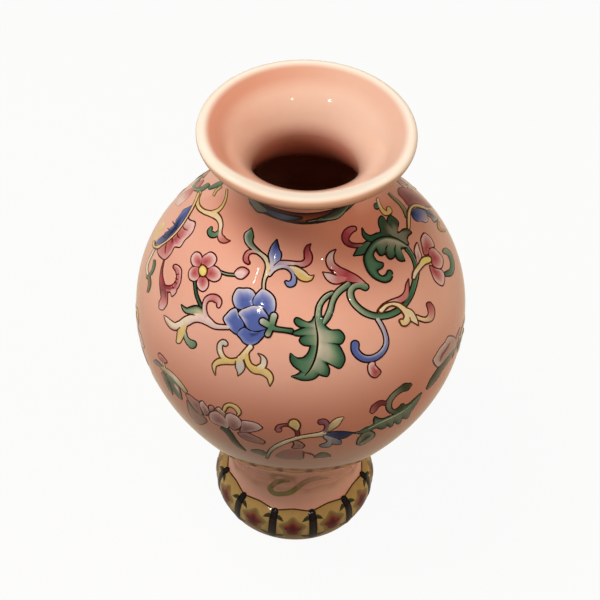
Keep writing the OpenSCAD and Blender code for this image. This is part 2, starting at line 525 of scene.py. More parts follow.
def profile_curves():
    """Radius and height along the vase's faces, curve by curve from the table up.

    Each curve has upright ends at the bulge, waist, belly and throat, and how far each end
    pulls straight is a share of its section's height.
    """
    s = shape()
    ankle_h = s.waist_z - s.bulge_z
    lower_h = s.belly_z - s.waist_z
    upper_h = s.throat_z - s.belly_z
    mouth_h = s.height - s.throat_z
    lip_mid = s.lip_r - s.lip_t / 2
    flare = s.flare_pull * (lip_mid - s.throat_r)
    back = np.array([flare * math.cos(s.flare_angle), flare * math.sin(s.flare_angle)])
    under = np.array([lip_mid, s.height - s.lip_t])
    over = np.array([lip_mid, s.height])
    inner_throat = s.throat_r - s.wall
    handles = {
        "foot": [(s.foot_r, 0), ((s.foot_r + s.bulge_r) / 2, s.bulge_z / 3),
                 (s.bulge_r, s.bulge_z * 2 / 3), (s.bulge_r, s.bulge_z)],
        "ankle": [(s.bulge_r, s.bulge_z), (s.bulge_r, s.bulge_z + s.bulge_pull * ankle_h),
                  (s.waist_r, s.waist_z - s.waist_pull_down * ankle_h), (s.waist_r, s.waist_z)],
        "lower": [(s.waist_r, s.waist_z), (s.waist_r, s.waist_z + s.waist_pull_up * lower_h),
                  (s.belly_r, s.belly_z - s.belly_pull_down * lower_h), (s.belly_r, s.belly_z)],
        "upper": [(s.belly_r, s.belly_z), (s.belly_r, s.belly_z + s.belly_pull_up * upper_h),
                  (s.throat_r, s.throat_z - s.throat_pull_down * upper_h), (s.throat_r, s.throat_z)],
        "mouth": [(s.throat_r, s.throat_z),
                  (s.throat_r, s.throat_z + s.throat_pull_up * (mouth_h - s.lip_t)), under - back, under],
        "mouth_inside": [(inner_throat, s.throat_z),
                         (inner_throat, s.throat_z + s.inner_pull * mouth_h), over - back, over],
    }
    curves = {name: bezier(points, s.rows) for name, points in handles.items()}
    curves["lower_inside"] = inset(curves["lower"], s.wall)
    curves["upper_inside"] = inset(curves["upper"], s.wall)
    return curves


def keep(mesh, materials, replaced=()):
    """Puts a mesh in the scene as a piece of the same name that rides on the vase."""
    piece = bpy.data.objects.new(mesh.name, mesh)
    bpy.context.scene.collection.objects.link(piece)
    for material in materials:
        mesh.materials.append(material)
    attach(piece, BODY)
    if replaced:
        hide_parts(*replaced)


def outward(mesh, sharp_angle):
    """Turns every face of a closed mesh outwards, smooths it and keeps its corners sharp."""
    work = bmesh.new()
    work.from_mesh(mesh)
    bmesh.ops.recalc_face_normals(work, faces=work.faces)
    work.to_mesh(mesh)
    work.free()
    mesh.polygons.foreach_set("use_smooth", np.ones(len(mesh.polygons), bool))
    mesh.set_sharp_from_angle(angle=math.radians(sharp_angle))
    mesh.update()


def ring_faces(gaps, rings, count):
    """Faces in the gaps between rings of count points, each ring with the next, the last with the first."""
    row = np.arange(gaps)[:, None]
    column = np.arange(count)[None, :]
    next_row = (row + 1) % rings
    next_column = (column + 1) % count
    corners = [row * count + column, row * count + next_column,
               next_row * count + next_column, next_row * count + column]
    return np.stack(corners, axis=-1).reshape(-1, 4)


def turned(name, loop, second):
    """A closed profile carried round the axis.

    Faces of the rows that are marked in second take the second material.
    """
    steps = shape().turns
    loop = np.asarray(loop, float)
    angle = np.linspace(0, 2 * np.pi, steps, endpoint=False)
    places = round_axis(*np.broadcast_arrays(loop[:, :1], angle, loop[:, 1:]))
    mesh = bpy.data.meshes.new(name)
    mesh.from_pydata(places.reshape(-1, 3), [], ring_faces(len(loop), len(loop), steps).tolist())
    mesh.polygons.foreach_set("material_index", np.repeat(second, steps).astype(np.int32))
    outward(mesh, SHARP_CLAY)
    return mesh


def rounded(corner, before, after, radius, count=5):
    """A corner of a profile eased by a quadratic curve that starts and ends a radius away."""
    corner, before, after = (np.asarray(p, float) for p in (corner, before, after))
    start = corner + radius * unit(before - corner)
    end = corner + radius * unit(after - corner)
    t = np.linspace(0, 1, count)[:, None]
    return (1 - t) ** 2 * start + 2 * (1 - t) * t * corner + t ** 2 * end


# Enamel painting

# How far a mark's dark outline spreads beyond its drawn shape, and its colour stays inside that
LINE_GROW = 0.36 * MM
FILL_SHRINK = 0.26 * MM

# Relief of outlines, colours and veins, and how far the middle of a colour swells above its edge
LINE_RELIEF = 0.05 * MM
FILL_RELIEF = 0.09 * MM
VEIN_RELIEF = 0.2 * MM
SWELL = 0.09 * MM

# How far each mark of a drawing, and each layer, lies above the one before
ORDER_STEP = 0.003 * MM
LAYER_STEP = 0.2 * MM

# How deep the sides of strokes, and of petals and leaves, are sunk in the glaze
STROKE_SKIRT = 0.1 * MM
PETAL_SKIRT = 0.45 * MM

# Fewest steps along a curve, and its shortest gap between points as a share of a step
MIN_STEPS = 6
MIN_GAP = 0.001

# Points across a stroke, steps of each of its round ends, and how narrow these end, as a share
STROKE_LANES = 7
END_STEPS = 5
END_TIP = 0.05

# Narrowest drawn stroke as a share of a canvas's step, and what an inset leaves of it at least
MIN_WIDTH = 0.3
MIN_INSET = 0.12

# Power of the distance from a stroke's middle at which its sides' colours come in
SIDE_POWER = 1.3

# Rings of a petal from its edge to its heart and lanes of a leaf from its rib to its edge, as shares
PETAL_RINGS = (1, 1, 0.9, 0.78, 0.62, 0.45, 0.28, 0.1)
LEAF_LANES = (0, 0, 0.15, 0.3, 0.45, 0.6, 0.75, 0.88, 1, 1)

# Share of a petal's size by which its heart is off its middle where its base counts in full
FULL_BASE = 0.2

# How much of the way to the edge's colour a base loses, and how that eases round to the petal's tip:
# a level, and a slope by the cosine of the angle from the tip
BASE_LOSS = 0.6
EASE_LEVEL = 0.55
EASE_SLOPE = 0.75

# Width of a vein's fine ends, and of a vein with two points, as shares of its own
VEIN_END = 0.35
VEIN_SHORT = 0.8


def smooth(points, step, closed=False):
    """Points a step apart on a curve through the given ones.

    Each stretch is a cubic, and its slope at a point is the mean of the slopes on both sides,
    weighted towards the nearer neighbour.
    """
    points = np.asarray(points, float)
    if closed:
        points = np.vstack([points[-1:], points, points[:2]])
    else:
        points = np.vstack([2 * points[:1] - points[1:2], points, 2 * points[-1:] - points[-2:-1]])
    gaps = np.maximum(np.linalg.norm(np.diff(points[:, :2], axis=0), axis=1), MIN_GAP * step)
    knots = np.concatenate([[0], np.cumsum(gaps)])
    between = np.diff(points, axis=0) / gaps[:, None]
    before, after = gaps[:-1, None], gaps[1:, None]
    slope = np.zeros_like(points)
    slope[1:-1] = (between[:-1] * after + between[1:] * before) / (before + after)
    count = max(int(round((knots[-2] - knots[1]) / step)), MIN_STEPS)
    where = np.linspace(knots[1], knots[-2], count + 1)
    if closed:
        where = where[:-1]
    index = np.clip(np.searchsorted(knots, where, side="right") - 1, 1, len(points) - 3)
    gap = gaps[index][:, None]
    t = (where - knots[index])[:, None] / gap
    start, end = points[index], points[index + 1]
    leave, arrive = slope[index] * gap, slope[index + 1] * gap
    bend = 2 * (start - end) + leave + arrive
    return start + t * leave + t ** 2 * (3 * (end - start) - 2 * leave - arrive) + t ** 3 * bend


def gradient(names, where):
    """Colours of the palette, spread evenly from 0 to 1 and blended between."""
    stops = np.array([linear(getattr(enamels(), name)) for name in names.split()])
    places = np.linspace(0, 1, len(stops))
    if len(stops) == 1:
        return np.broadcast_to(stops[0], (*np.shape(where), 3))
    return np.stack([np.interp(where, places, stops[:, i]) for i in range(3)], axis=-1)


class Profile:
    """Outer face of the vase as tables of radius, distance along it and slope by height."""

    def __init__(self):
        curves = profile_curves()
        names = ("foot", "ankle", "lower", "upper", "mouth")
        line = np.vstack([curves[name][:-1] for name in names] + [curves["mouth"][-1:]])
        self.radius, self.height = line.T
        steps = np.linalg.norm(np.diff(line, axis=0), axis=1)
        self.run = np.concatenate([[0], np.cumsum(steps)])
        along = unit(np.gradient(line, self.run, axis=0))
        self.out, self.up = along[:, 1], -along[:, 0]

    def radius_at(self, height):
        """Radius of the glaze at a height."""
        return np.interp(height, self.height, self.radius)

    def slope_at(self, height):
        """Outward and upward parts of the direction square to the glaze at a height."""
        return np.interp(height, self.height, self.out), np.interp(height, self.height, self.up)

    def lifted(self, angle, height, relief):
        """Places on the glaze at an angle and height, moved off it square to its face by relief."""
        out, up = self.slope_at(height)
        return round_axis(self.radius_at(height) + relief * out, angle, height + relief * up)

    def facing(self, angle, height):
        """Directions square to the glaze."""
        out, up = self.slope_at(height)
        return round_axis(out, angle, up)


def camera_axes():
    """The camera's directions to the right, up and forward: turned, tipped down and rolled."""
    v = stage()
    forward = Vector((math.sin(v.camera_yaw) * math.cos(v.camera_pitch),
                      math.cos(v.camera_yaw) * math.cos(v.camera_pitch), -math.sin(v.camera_pitch)))
    level = Vector((math.cos(v.camera_yaw), -math.sin(v.camera_yaw), 0))
    up = level.cross(forward)
    right = math.cos(v.camera_roll) * level + math.sin(v.camera_roll) * up
    return right, right.cross(forward), forward


class PhotoCanvas:
    """Carries pixels of the photograph to the glaze along the camera's rays."""
    # Pixels between the points of a curve, samples of a ray and halvings of the gap where it crosses
    step = 1.0
    samples = 160
    halvings = 16
    # How much nearer than the foot's centre the samples start, and how far they go
    start = 0.2
    span = 0.3

    def __init__(self):
        self.profile = Profile()
        v = stage()
        self.eye = np.array([0, -v.camera_back, v.camera_up])
        self.right, self.up, self.forward = (np.array(axis) for axis in camera_axes())

    def place(self, flat):
        """Angle and height where each ray first passes inside the vase's radius.

        The crossing is found between two samples of the ray and narrowed by halving. A ray that
        misses gives its closest point.
        """
        flat = np.asarray(flat, float)
        ray = unit(self.forward * stage().lens_px + self.right * (flat[..., :1] - PHOTO_SIDE / 2)
                   + self.up * (PHOTO_SIDE / 2 - flat[..., 1:2]))
        near = np.linalg.norm(self.eye) - self.start
        reach = np.linspace(near, near + self.span, self.samples)
        gap = self.gap(ray[..., None, :], reach[:, None])
        inside = gap < 0
        hit = inside.any(axis=-1)
        index = np.where(hit, inside.argmax(axis=-1), gap.argmin(axis=-1))
        far = reach[index]
        close = reach[np.maximum(index - 1, 0)]
        for _ in range(self.halvings):
            middle = (close + far) / 2
            within = self.gap(ray, middle[..., None]) < 0
            far = np.where(within, middle, far)
            close = np.where(within, close, middle)
        far = np.where(hit, far, reach[index])
        return angle_and_height(self.eye + ray * far[..., None])

    def gap(self, ray, reach):
        """How far outside the vase's radius the point at a reach along a ray is."""
        spot = self.eye + ray * reach
        return np.hypot(spot[..., 0], spot[..., 1]) - self.profile.radius_at(spot[..., 2])


class BandCanvas:
    """Carries millimetres round and up from an anchor on the painted front to the glaze."""
    # Millimetres between the points of a curve
    step = 0.4

    def __init__(self, height):
        self.profile = Profile()
        self.start = np.interp(height, self.profile.height, self.profile.run)
        self.radius = self.profile.radius_at(height)

    def place(self, flat):
        """Angle from the distance round at the anchor's radius, height from the distance along."""
        flat = np.asarray(flat, float) * MM
        height = np.interp(self.start + flat[..., 1], self.profile.run, self.profile.height)
        return flat[..., 0] / self.radius, height


class Solid(NamedTuple):
    """Rings of places on the vase, as angle, height, relief and colour, closed at both ends."""
    angle: np.ndarray
    height: np.ndarray
    relief: np.ndarray
    tint: np.ndarray


def outlined(form, canvas, layer, order, line, tints):
    """A mark's dark outline, and the coloured enamel on it, both in the mark's form."""
    base = layer * LAYER_STEP
    yield form(canvas, LINE_GROW, base + LINE_RELIEF, 0, line)
    yield form(canvas, -FILL_SHRINK, base + FILL_RELIEF + order * ORDER_STEP, SWELL, tints)


def with_round_ends(path):
    """A spine with half circles added at both ends, and its directions."""
    along = unit(np.gradient(path[:, :2], axis=0))
    turn = np.linspace(0, np.pi / 2, END_STEPS + 1)[1:]
    reach = np.sin(turn)[:, None]
    narrow = np.maximum(np.cos(turn), END_TIP)
    head = np.column_stack([path[0, :2] - along[0] * reach * path[0, 2] / 2, path[0, 2] * narrow])
    tail = np.column_stack([path[-1, :2] + along[-1] * reach * path[-1, 2] / 2, path[-1, 2] * narrow])
    path = np.vstack([head[::-1], path, tail])
    first, last = (np.repeat(end, END_STEPS, axis=0) for end in (along[:1], along[-1:]))
    return path, np.vstack([first, along, last])


class Stroke(NamedTuple):
    """A brush stroke: colours along its middle, the (x, y, width) of its spine, and its sides."""
    middle: str
    spine: list
    left: str = ""
    right: str = ""
    line: str = "ink"
    layer: int = 0

    def solids(self, canvas, order):
        """The stroke's dark outline, and the coloured enamel on it."""
        tints = (self.left or self.middle, self.middle, self.right or self.middle)
        return outlined(self.carried, canvas, self.layer, order, (self.line,) * 3, tints)

    def carried(self, canvas, grow, relief, swell, tints):
        """A cross-section carried along the spine, its sides moved out by grow.

        Its lanes go from side to side, highest in the middle as one less the square of the
        distance from it, and a skirt sunk in the glaze closes it.
        """
        path = smooth(self.spine, canvas.step)
        path[:, 2] = np.maximum(path[:, 2], MIN_WIDTH * canvas.step)
        right = square_to(unit(np.gradient(path[:, :2], axis=0)))
        half = path[:, 2, None, None] / 2
        sides = path[:, None, :2] + half * np.array([-1, 1])[:, None] * right[:, None]
        ends = canvas.profile.lifted(*canvas.place(sides), 0)
        width = np.linalg.norm(ends[:, 0] - ends[:, 1], axis=-1)
        path[:, 2] *= np.maximum((width + 2 * grow) / width, MIN_INSET)
        path, along = with_round_ends(path)
        lane = np.linspace(-1, 1, STROKE_LANES)
        flat = path[:, None, :2] + (path[:, 2, None] / 2 * lane)[..., None] * square_to(along)[:, None]
        angle, height = canvas.place(flat)
        lift = np.broadcast_to(relief + swell * (1 - lane ** 2), angle.shape)
        share_along = np.linspace(0, 1, len(path))
        left, middle, right = (gradient(tint, share_along)[:, None] for tint in tints)
        pull = (np.abs(lane) ** SIDE_POWER)[:, None]
        tint = middle * (1 - pull) + np.where(lane[:, None] < 0, left, right) * pull
        skirt = ((0, 0), (1, 1))
        return Solid(np.pad(angle, skirt, "edge"), np.pad(height, skirt, "edge"),
                     np.pad(lift, skirt, constant_values=-STROKE_SKIRT),
                     np.pad(tint, (*skirt, (0, 0)), "edge"))


def moved_out(canvas, flat, inner, grow, closed):
    """Places of an edge on the glaze, moved along it by grow, away from the inner places."""
    angle, height = canvas.place(flat)
    spots = canvas.profile.lifted(angle, height, 0)
    if closed:
        along = np.roll(spots, -1, axis=0) - np.roll(spots, 1, axis=0)
    else:
        along = np.gradient(spots, axis=0)
    away = unit(np.cross(along, canvas.profile.facing(angle, height)))
    if np.sum(away * (spots - inner)) < 0:
        away = -away
    return spots + grow * away


class Petal(NamedTuple):
    """A patch of colour: tints from its heart to its edge, the heart, and the edge's points."""
    tints: str
    heart: tuple
    edge: list
    line: str = "ink"
    layer: int = 0

    def solids(self, canvas, order):
        """The petal's dark outline, and the coloured enamel on it."""
        return outlined(self.ringed, canvas, self.layer, order, self.line, self.tints)

    def ringed(self, canvas, grow, relief, swell, tints):
        """Rings that shrink from the edge, moved out by grow along the glaze, to the heart.

        The relief is highest at the heart, as one less the square of a ring's share of the way.
        Colours run from the heart outwards, and stop short on the side where the petal's middle
        isn't, which is its base.
        """
        heart_angle, heart_height = canvas.place(np.array(self.heart, float))
        heart = canvas.profile.lifted(heart_angle, heart_height, 0)
        spots = moved_out(canvas, smooth(self.edge, canvas.step, closed=True), heart, grow, True)
        angle, height = angle_and_height(spots)
        ring = np.array(PETAL_RINGS)[:, None]
        lift = relief + swell * (1 - ring ** 2)
        lift[0] = -PETAL_SKIRT
        reach = spots - heart
        middle = reach.mean(axis=0)
        offset = np.linalg.norm(middle)
        size = np.linalg.norm(reach, axis=1)
        lean = reach @ middle / (size * offset)
        base = np.clip(offset / (FULL_BASE * size.mean()), 0, 1)
        outer = 1 - base * (1 - np.clip(EASE_LEVEL + EASE_SLOPE * lean, 0, 1)) * BASE_LOSS
        return Solid(heart_angle + ring * (angle - heart_angle),
                     heart_height + ring * (height - heart_height),
                     np.tile(lift, (1, len(angle))), gradient(tints, ring * outer))


class Leaf(NamedTuple):
    """Half a leaf: its rib from base to tip, and its edge as (x, y, share of the rib's length).

    Each set of tints runs from the rib to the edge, and the sets follow each other along the rib.
    """
    tints: tuple
    rib: list
    edge: list
    line: str = "ink"
    layer: int = 0

    def solids(self, canvas, order):
        """The leaf's dark outline, and the coloured enamel on it."""
        return outlined(self.spread, canvas, self.layer, order, (self.line,) * 2, self.tints)

    def spread(self, canvas, grow, relief, swell, tints):
        """Straight lanes from the rib to the edge, which is moved out by grow along the glaze.

        Each point of the edge is joined to the rib at its share. The relief is highest at the rib,
        as one less the square of a lane's share of the way.
        """
        rib = smooth(self.rib, canvas.step / 2)
        edge = smooth(self.edge, canvas.step)
        along = np.linspace(0, 1, len(rib))
        joined = np.stack([np.interp(edge[:, 2], along, side) for side in rib.T], axis=1)
        rib_angle, rib_height = canvas.place(joined)
        rib_spots = canvas.profile.lifted(rib_angle, rib_height, 0)
        angle, height = angle_and_height(moved_out(canvas, edge[:, :2], rib_spots, grow, False))
        lane = np.array(LEAF_LANES)
        lift = relief + swell * (1 - lane ** 2)
        lift[[0, -1]] = -PETAL_SKIRT
        place = np.clip(edge[:, 2], 0, 1) * (len(tints) - 1)
        weight = np.clip(1 - np.abs(place[:, None] - np.arange(len(tints))), 0, 1)
        tint = weight @ np.stack([gradient(names, lane).ravel() for names in tints])
        return Solid(rib_angle[:, None] + lane * (angle - rib_angle)[:, None],
                     rib_height[:, None] + lane * (height - rib_height)[:, None],
                     np.broadcast_to(lift, (len(edge), len(lane))), tint.reshape(len(edge), len(lane), 3))


class Vein(NamedTuple):
    """A thin dark line, wide in the middle and fine at its ends, through (x, y) points."""
    path: list
    line: str = "ink"
    width: float = 1.3
    layer: int = 0

    def solids(self, canvas, order):
        """A narrow stroke high enough to lie on the enamel, its width half a wave of a sine."""
        count = len(self.path)
        wide = self.width * (VEIN_END + (1 - VEIN_END) * np.sin(np.linspace(0, np.pi, count)))
        if count == 2:
            wide[:] = self.width * VEIN_SHORT
        stroke = Stroke(self.line, np.column_stack([self.path, wide]))
        relief = self.layer * LAYER_STEP + VEIN_RELIEF + order * ORDER_STEP
        yield stroke.carried(canvas, 0, relief, 0, (self.line,) * 3)


# Turns round the axis at which a drawing is painted
FRONT = (0,)
FRONT_AND_BACK = (0, 180)


def draw(name, canvas, marks, turns):
    """Makes one piece of enamel from a canvas's marks, painted at each turn round the axis."""
    spots, faces, tints = [], [], []
    total = 0
    for order, mark in enumerate(marks.values()):
        for solid in mark.solids(canvas, order):
            for turn in turns:
                angle = solid.angle + math.radians(turn)
                spots.append(canvas.profile.lifted(angle, solid.height, solid.relief).reshape(-1, 3))
                tints.append(solid.tint.reshape(-1, 3))
                faces += closed_rings(*angle.shape, total)
                total += angle.size
    mesh = bpy.data.meshes.new(name)
    mesh.from_pydata(np.vstack(spots), [], faces)
    shades = np.column_stack([np.vstack(tints), np.ones(total)])
    mesh.attributes.new("tint", "FLOAT_COLOR", "POINT").data.foreach_set("color", shades.ravel())
    outward(mesh, SHARP_ENAMEL)
    keep(mesh, [bpy.data.materials.get("enamel") or enamel()])


def closed_rings(rings, count, first):
    """Faces between rings of count points, from the first point on, and one face at each end."""
    last = first + (rings - 1) * count
    ends = [list(range(start, start + count)) for start in (first, last)]
    return (ring_faces(rings - 1, rings, count) + first).tolist() + ends


def sharp(*point):
    """A point of an outline given twice, which makes a sharp corner there."""
    return [point, point]


def pink_petal(heart, edge):
    """A petal of deep pink that pales towards its edge."""
    return Petal("crimson rose blush", heart, edge, "wine")


def dull_petal(rim, heart, edge):
    """A petal of dull violet and greyish pink, its rim in a colour of its own."""
    return Petal(f"mauve dusk {rim}", heart, edge, "wine")


# Drawings, in pixels of the photograph

BLUE_FLOWER = {
    "upper left petal": Petal("cobalt cobalt periwinkle mist", (246, 304), [
        (237, 288.7), (243.5, 288.3), (250.5, 288.7), (254.9, 292.7), (255.7, 294.5), (253, 299),
        (253.4, 305), (246, 307.7), (241, 309.7), (236.2, 308), (233.1, 302.5), (232.6, 298), (234.7, 292)]),
    "upper right petal": Petal("cobalt cobalt periwinkle mist", (263, 305), [
        (255.7, 294.5), (258, 292), (262, 288.7), (269, 291.5), (274.5, 297.5), (275.9, 306), (274.5, 311.7),
        (269.2, 315.5), (264, 309), (258, 306), (253.4, 305), (253, 299)]),
    "left petal": Petal("cobalt cobalt cobalt periwinkle mist", (237, 323), [
        (236.2, 308), (231, 309.5), (226.5, 314), (223.3, 318.2), (226, 324.5), (231.5, 331), (237, 334.2),
        (240.5, 329), (244, 327.2), (243, 320.5), (239.2, 316), (238.2, 312)]),
    "bottom petal": Petal("navy cobalt cobalt periwinkle", (253, 334), [
        (237, 334.2), (240.5, 329), (244, 327.2), (249.5, 330), (256, 331.7), (263.5, 330), (266.5, 329),
        (266, 333), (262, 338.5), (257, 343.2), (250.5, 345.5), (244, 343), (240, 338)]),
    "front petal": Petal("cobalt cobalt cobalt periwinkle mist", (255.5, 321), [
        (238.2, 313.5), (241, 309.7), (246, 307.7), (253.4, 305.2), (261.5, 307), (266, 312.5), (268.5, 316),
        (268, 322), (267, 328.5), (260, 331), (252.5, 331.5), (247, 328), (244, 323), (241, 318)]),
    "calyx top": Stroke("mist sage leaf leaf", [(274, 316, 7.4), (272.5, 322, 6.8), (272, 327, 6)], layer=1),
    "calyx left": Stroke("mist sage leaf leaf", [
        (263, 321.5, 7.4), (268, 324.5, 6.8), (272, 327, 5.5)], layer=1),
    "calyx bottom": Stroke("celadon leaf leaf", [(268, 334, 6.4), (270, 330, 6), (272, 327, 5.5)], layer=1),
    "stem": Stroke("leaf leaf forest", [
        (271, 327, 6), (276, 328.8, 5), (284, 330, 4.3), (291, 331, 4.8)], layer=1),
}

# Middle of the large leaf, from its base to its tip
BIG_RIB = [(315, 315.5), (315.5, 323), (317.5, 335), (317.5, 345), (316, 354.5), (313, 363.5), (308, 372),
           (305.5, 374.5)]

ACANTHUS = {
    "near stem": Stroke("leaf sage sage leaf", [
        (348, 284.5, 6.4), (338, 292.2, 6.4), (334.5, 297, 6.2), (332.2, 302.5, 5.8), (330.8, 308, 6),
        (329, 313.5, 6.4), (326.3, 319, 6), (324.3, 322.5, 4.6)], left="leaf forest",
        right="celadon sage celadon"),
    "far stem": Stroke("leaf sage sage sage", [
        (332, 293, 4), (327, 296, 5.4), (322.4, 300.6, 5.4), (319.4, 306, 5.6), (318.3, 311.5, 6),
        (318, 318, 6.6)], left="forest leaf leaf", right="celadon celadon sage"),
    "left half": Leaf(("celadon moss leaf forest", "sage leaf forest", "leaf leaf forest"), BIG_RIB, [
        (314, 316.5, 0), (311.5, 321, 0.09), (304.5, 322, 0.14), (300, 318.8, 0.16), (296, 317.8, 0.17),
        (294.2, 320.3, 0.18), (296, 324.5, 0.185), (301.5, 327.5, 0.19), *sharp(305, 327.2, 0.2),
        (298.5, 329.6, 0.23), *sharp(290, 333.3, 0.26), (297, 335.8, 0.3), *sharp(305, 335.3, 0.32),
        (300.5, 337.6, 0.36), (299.5, 340.5, 0.4), (303.5, 345, 0.45), *sharp(310.5, 345.8, 0.49),
        (308.5, 352, 0.6), (303.5, 357.3, 0.7), (295.5, 357.5, 0.8), *sharp(290.5, 353.3, 0.87),
        (290.3, 360.5, 0.9), (293.8, 366, 0.93), (298.5, 369.5, 0.97), (301, 371.3, 1)]),
    "right half": Leaf(
        ("sage leaf leaf forest", "straw celadon celadon sage leaf forest", "sage leaf leaf forest"),
        BIG_RIB, [
        (316.5, 315.5, 0), (321.5, 316, 0.02), (326.5, 327, 0.15), (332.5, 330.5, 0.2), (339, 330, 0.25),
        (344.5, 337.5, 0.33), (341, 343.8, 0.39), *sharp(333, 343.1, 0.42), (338, 344.8, 0.45),
        (342, 350.5, 0.5), (344.8, 359.5, 0.56), (339.5, 368.3, 0.62), (332, 365, 0.65),
        *sharp(325.8, 362.3, 0.68), (329.3, 369, 0.74), (327.5, 376, 0.82), *sharp(319, 374.5, 0.88),
        (314.5, 378.5, 0.92), (310.5, 379.8, 0.95), (302, 380, 0.98), (296, 378.2, 0.985),
        *sharp(291.5, 376.3, 0.99), (296.5, 374.8, 0.995), (301, 371.4, 1)]),
    "midrib": Vein([(314.7, 315), *BIG_RIB[1:-1], (304.7, 375.5)], width=2.2),
}

SPRAY = {
    "pink curl": Stroke("shell rose crimson", [
        (257, 252.2, 3.6), (252.5, 251.3, 4), (248, 253, 4.6), (246, 257, 5), (246.3, 260.5, 5.2),
        (248.2, 262.6, 3.6)], line="wine"),
    "green leaf": Stroke("celadon moss leaf moss", [
        (258.6, 252.3, 4.6), (254, 248.2, 5.2), (250.2, 244, 6.5), (248.7, 239.5, 8.6), (249.2, 235, 9.4),
        (250.6, 231.3, 5), (251.4, 228.3, 0.4)], left="straw pearl pearl", right="moss leaf leaf"),
    "stem": Stroke("celadon cream celadon", [
        (263.7, 289, 3.4), (263.9, 283, 3.4), (264.8, 278.5, 3.8), (267, 273, 5.2), (268.2, 268, 5.5),
        (267.5, 263, 5), (265.5, 258.5, 5.2), (262, 255, 4.6), (258, 252, 4.4)]),
    "blue leaf": Stroke("shell mist periwinkle cobalt navy navy", [
        (271.5, 268, 5.6), (273, 264, 7.5), (274.5, 259, 11.6), (275, 254, 13), (274.8, 249.5, 9.5),
        (275.6, 245, 6), (276.8, 240.2, 0.8)], left="mist mist periwinkle cobalt"),
    "yellow leaf": Stroke("cream yellow yellow", [
        (290.5, 267.5, 4), (295, 269.5, 7), (299, 272.8, 9.4), (303, 276, 10), (307.5, 278, 7.4),
        (311, 277.5, 4.6), (313.6, 275.6, 0.4)], left="straw", line="umber"),
    "blue curl": Stroke("shell mist lilac periwinkle periwinkle", [
        (269.5, 274.5, 4), (273.5, 269.5, 4.8), (279, 266.8, 4.8), (285, 266.5, 4.6), (290, 268.8, 4.8),
        (293.3, 273.5, 4.6), (294, 278.5, 5.2), (292.5, 283, 6.6), (289, 284, 6), (286.3, 282.3, 3)]),
    "pink branch": Stroke("mist lilac shell rose crimson maroon", [
        (273, 267.5, 5), (278, 264, 6), (284, 263.3, 5.6), (291, 263.4, 4.8), (298, 264.3, 5.4),
        (304, 263.8, 6.6), (308, 260.3, 7.6), (308.2, 255.5, 7.8), (307.2, 250.5, 5.6), (308.3, 246.6, 3.4),
        (310.4, 244.2, 0.4)], line="wine"),
    "leaf line": Vein([(269, 262), (268.3, 256)]),
    "branch line": Vein([(274, 265.5), (279, 261)]),
    "fork line": Vein([(292, 265.5), (296, 265.7), (302.5, 267.7)]),
    "curl line": Vein([(294.5, 274.5), (297, 277.5)]),
}

BLOSSOM = {
    "branch": Stroke("forest", [(194.8, 282, 2.8), (196.4, 294, 2.8), (198.6, 300.5, 3), (201.2, 306, 3)]),
    "bud stem": Stroke("sage", [(220.5, 272, 2.4), (226, 274, 2.6), (235, 275, 2.6)]),
    "bud": Petal("shell blush rose", (240, 275), [
        (234.2, 274.5), (237.5, 269), (241.5, 267.2), (246, 268.2), (249, 271), (245.5, 277), (242, 279),
        (237, 278)], "wine"),
    "upper left petal": pink_petal((199.5, 262), [
        (196.5, 252), (192, 255.5), (191, 260), (193, 265.5), (199.5, 267), (201.5, 263), (202.2, 257.5),
        (200, 253.2)]),
    "upper right petal": pink_petal((206, 262), [
        (202.2, 257.5), (206.5, 254), (210.5, 252.2), (215, 254.5), (216.7, 258.5), (214.5, 264.5),
        (208, 268.5), (201.5, 264.5)]),
    "right petal": pink_petal((211, 273.5), [
        (208, 269), (214, 266), (220, 270), (221.5, 274), (219, 280), (214, 281.7), (209.5, 280),
        (206.5, 277.5)]),
    "bottom petal": pink_petal((203, 281), [
        (199.5, 277), (206.5, 277.5), (208.7, 283), (207.2, 288.5), (203, 291.5), (198.7, 289),
        (196.7, 283.5)]),
    "left petal": pink_petal((195, 273), [
        (193.2, 266.5), (199.2, 268), (198.5, 271), (199.5, 277), (195.5, 281.2), (190.5, 280), (188.5, 275),
        (189.7, 270)]),
    "centre": Petal("lemon lemon yellow", (203.2, 271), [
        (203.2, 265.2), (206.3, 267.2), (207.5, 271), (206.3, 274.8), (203.2, 276.8), (200.2, 274.8),
        (199, 271), (200.2, 267.2)], "umber", layer=1),
}

